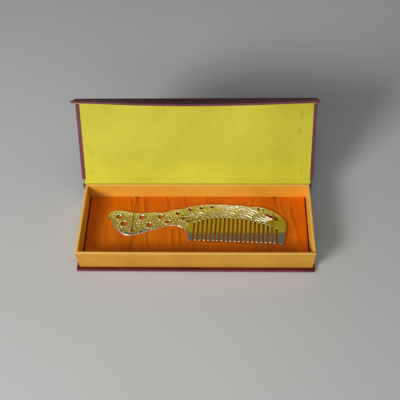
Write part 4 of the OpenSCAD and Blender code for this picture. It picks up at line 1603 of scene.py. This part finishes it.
def makePad():
    xs, ys = padGrid(padLook["clothColumns"], padLook["clothRows"])
    fineX, fineY = padGrid(padLook["columns"], padLook["rows"])
    lift = resample(satinLift(xs, ys), xs, ys, fineX, fineY)
    gridX, gridY = np.meshgrid(fineX, fineY)
    top = np.minimum(padHeight(gridX, gridY) + lift, underComb(gridX, gridY))
    low = np.zeros_like(top)
    pushed = gridY.copy()
    behind = gridY > padSize.y / 2
    half = tieLook["notchWidth"] / 2
    # the ties press on it too, and run in notches and a groove below
    for route in (routeLeft, routeRight):
        tieX, tieZ = tieAt(route, gridY)
        off = np.abs(gridX - tieX)
        bottom = tieZ - tieLook["thick"] / 2 - padLook["press"] / 2
        top = np.minimum(top, bottom + np.clip((off - 0.5) / 1.6, 0, 1) ** 1.5 * 1.2 + 9 * (off > 2.4))
        near = np.abs(gridX - route[0][0] - (route[-1][0] - route[0][0]) * gridY / padSize.y)
        low = np.maximum(low, tieLook["groove"] * (near < half + 0.1))
        notch = np.clip(1 - (near / half) ** 4, 0, 1) * tieLook["notchDepth"]
        pushed = np.maximum(pushed, notch * (gridY < padSize.y / 2))
        pushed = np.minimum(pushed, padSize.y - notch * behind)
    places = [(gridX.ravel() * mm, (pushed.ravel() + padFront) * mm, (z.ravel() + padUnder) * mm)
              for z in (top, low)]
    points = np.concatenate([np.stack(three, axis=1) for three in places]).tolist()
    wide, deep = len(fineX), len(fineY)
    total = wide * deep
    faces = gridFaces(wide, deep) + [f[::-1] for f in gridFaces(wide, deep, total)]
    faces += ringFaces(turnDown(points, gridRim(wide, deep), total))
    pad = meshObject("satinPad", points, faces)
    fixNormals(pad)
    shadeSmooth(pad, weighted=False)
    place(pad, "box", "satin", orangeSatin, ["pad"])
    print("pad made,", len(pad.data.polygons), "faces")


# Ties

def addTube(points, faces, line, radius, sides, frames):
    start = len(points)
    flat = circle((0, 0), radius, sides)
    points += [spot + a * x + b * y for spot, (a, b) in zip(line, frames) for x, y in flat]
    rings = [range(start + i * sides, start + (i + 1) * sides) for i in range(len(line))]
    faces += ringFaces(rings + rings[:1])


def closedLine(points, step):
    # a closed smooth curve through the points, cut into equal steps
    count = len(points)
    points = [np.array(p, float) for p in points]
    dense = []
    for i in range(count):
        four = [points[(i + k) % count] for k in (-1, 0, 1, 2)]
        dense += [curvePoint(*four, k / 12) for k in range(12)]
    dense = np.array(dense + [dense[0]])
    gone = np.concatenate([[0], np.cumsum(np.linalg.norm(np.diff(dense, axis=0), axis=1))])
    at = np.linspace(0, gone[-1], int(round(gone[-1] / step)) + 1)[:-1]
    return np.stack([np.interp(at, gone, dense[:, k]) for k in range(3)], axis=1), gone[-1]


def makeTie(name, node, route):
    line, length = closedLine(tieLine(route), tieLook["step"])
    line += np.array([0, padFront, padUnder])
    count = len(line)
    run = unitRows(np.roll(line, -1, axis=0) - np.roll(line, 1, axis=0))
    out = unitRows(np.cross([1.0, 0, 0], run))
    side = np.cross(run, out)
    frames = list(zip(side, out))
    points = []
    faces = []
    thread = tieLook["threadThick"] / 2
    middle = tieLook["thick"] / 2 - thread
    addTube(points, faces, line, middle - thread + 0.06, 8, frames)
    winding = 2 * math.pi * round(length / tieLook["twist"]) * np.arange(count) / count
    for way in (1, -1):
        for k in range(tieLook["threads"]):
            angle = way * winding + 2 * math.pi * k / tieLook["threads"]
            # the threads pass over and under one another
            weave = middle - 0.05 + 0.05 * way * np.sin(tieLook["threads"] * angle)
            path = line + weave[:, None] * (np.cos(angle)[:, None] * side + np.sin(angle)[:, None] * out)
            addTube(points, faces, path, thread, 5, frames)
    tie = meshObject(name, np.array(points) * mm, faces)
    fixNormals(tie)
    shadeSmooth(tie, weighted=False)
    place(tie, "box", "elastic", goldElastic, [node])
    print(name, "made, loop", round(length, 1), "mm,", len(faces), "faces")


makePad()
makeTie("tieLeft", "tie_left", routeLeft)
makeTie("tieRight", "tie_right", routeRight)

bpy.context.scene.view_settings.view_transform = "Standard"
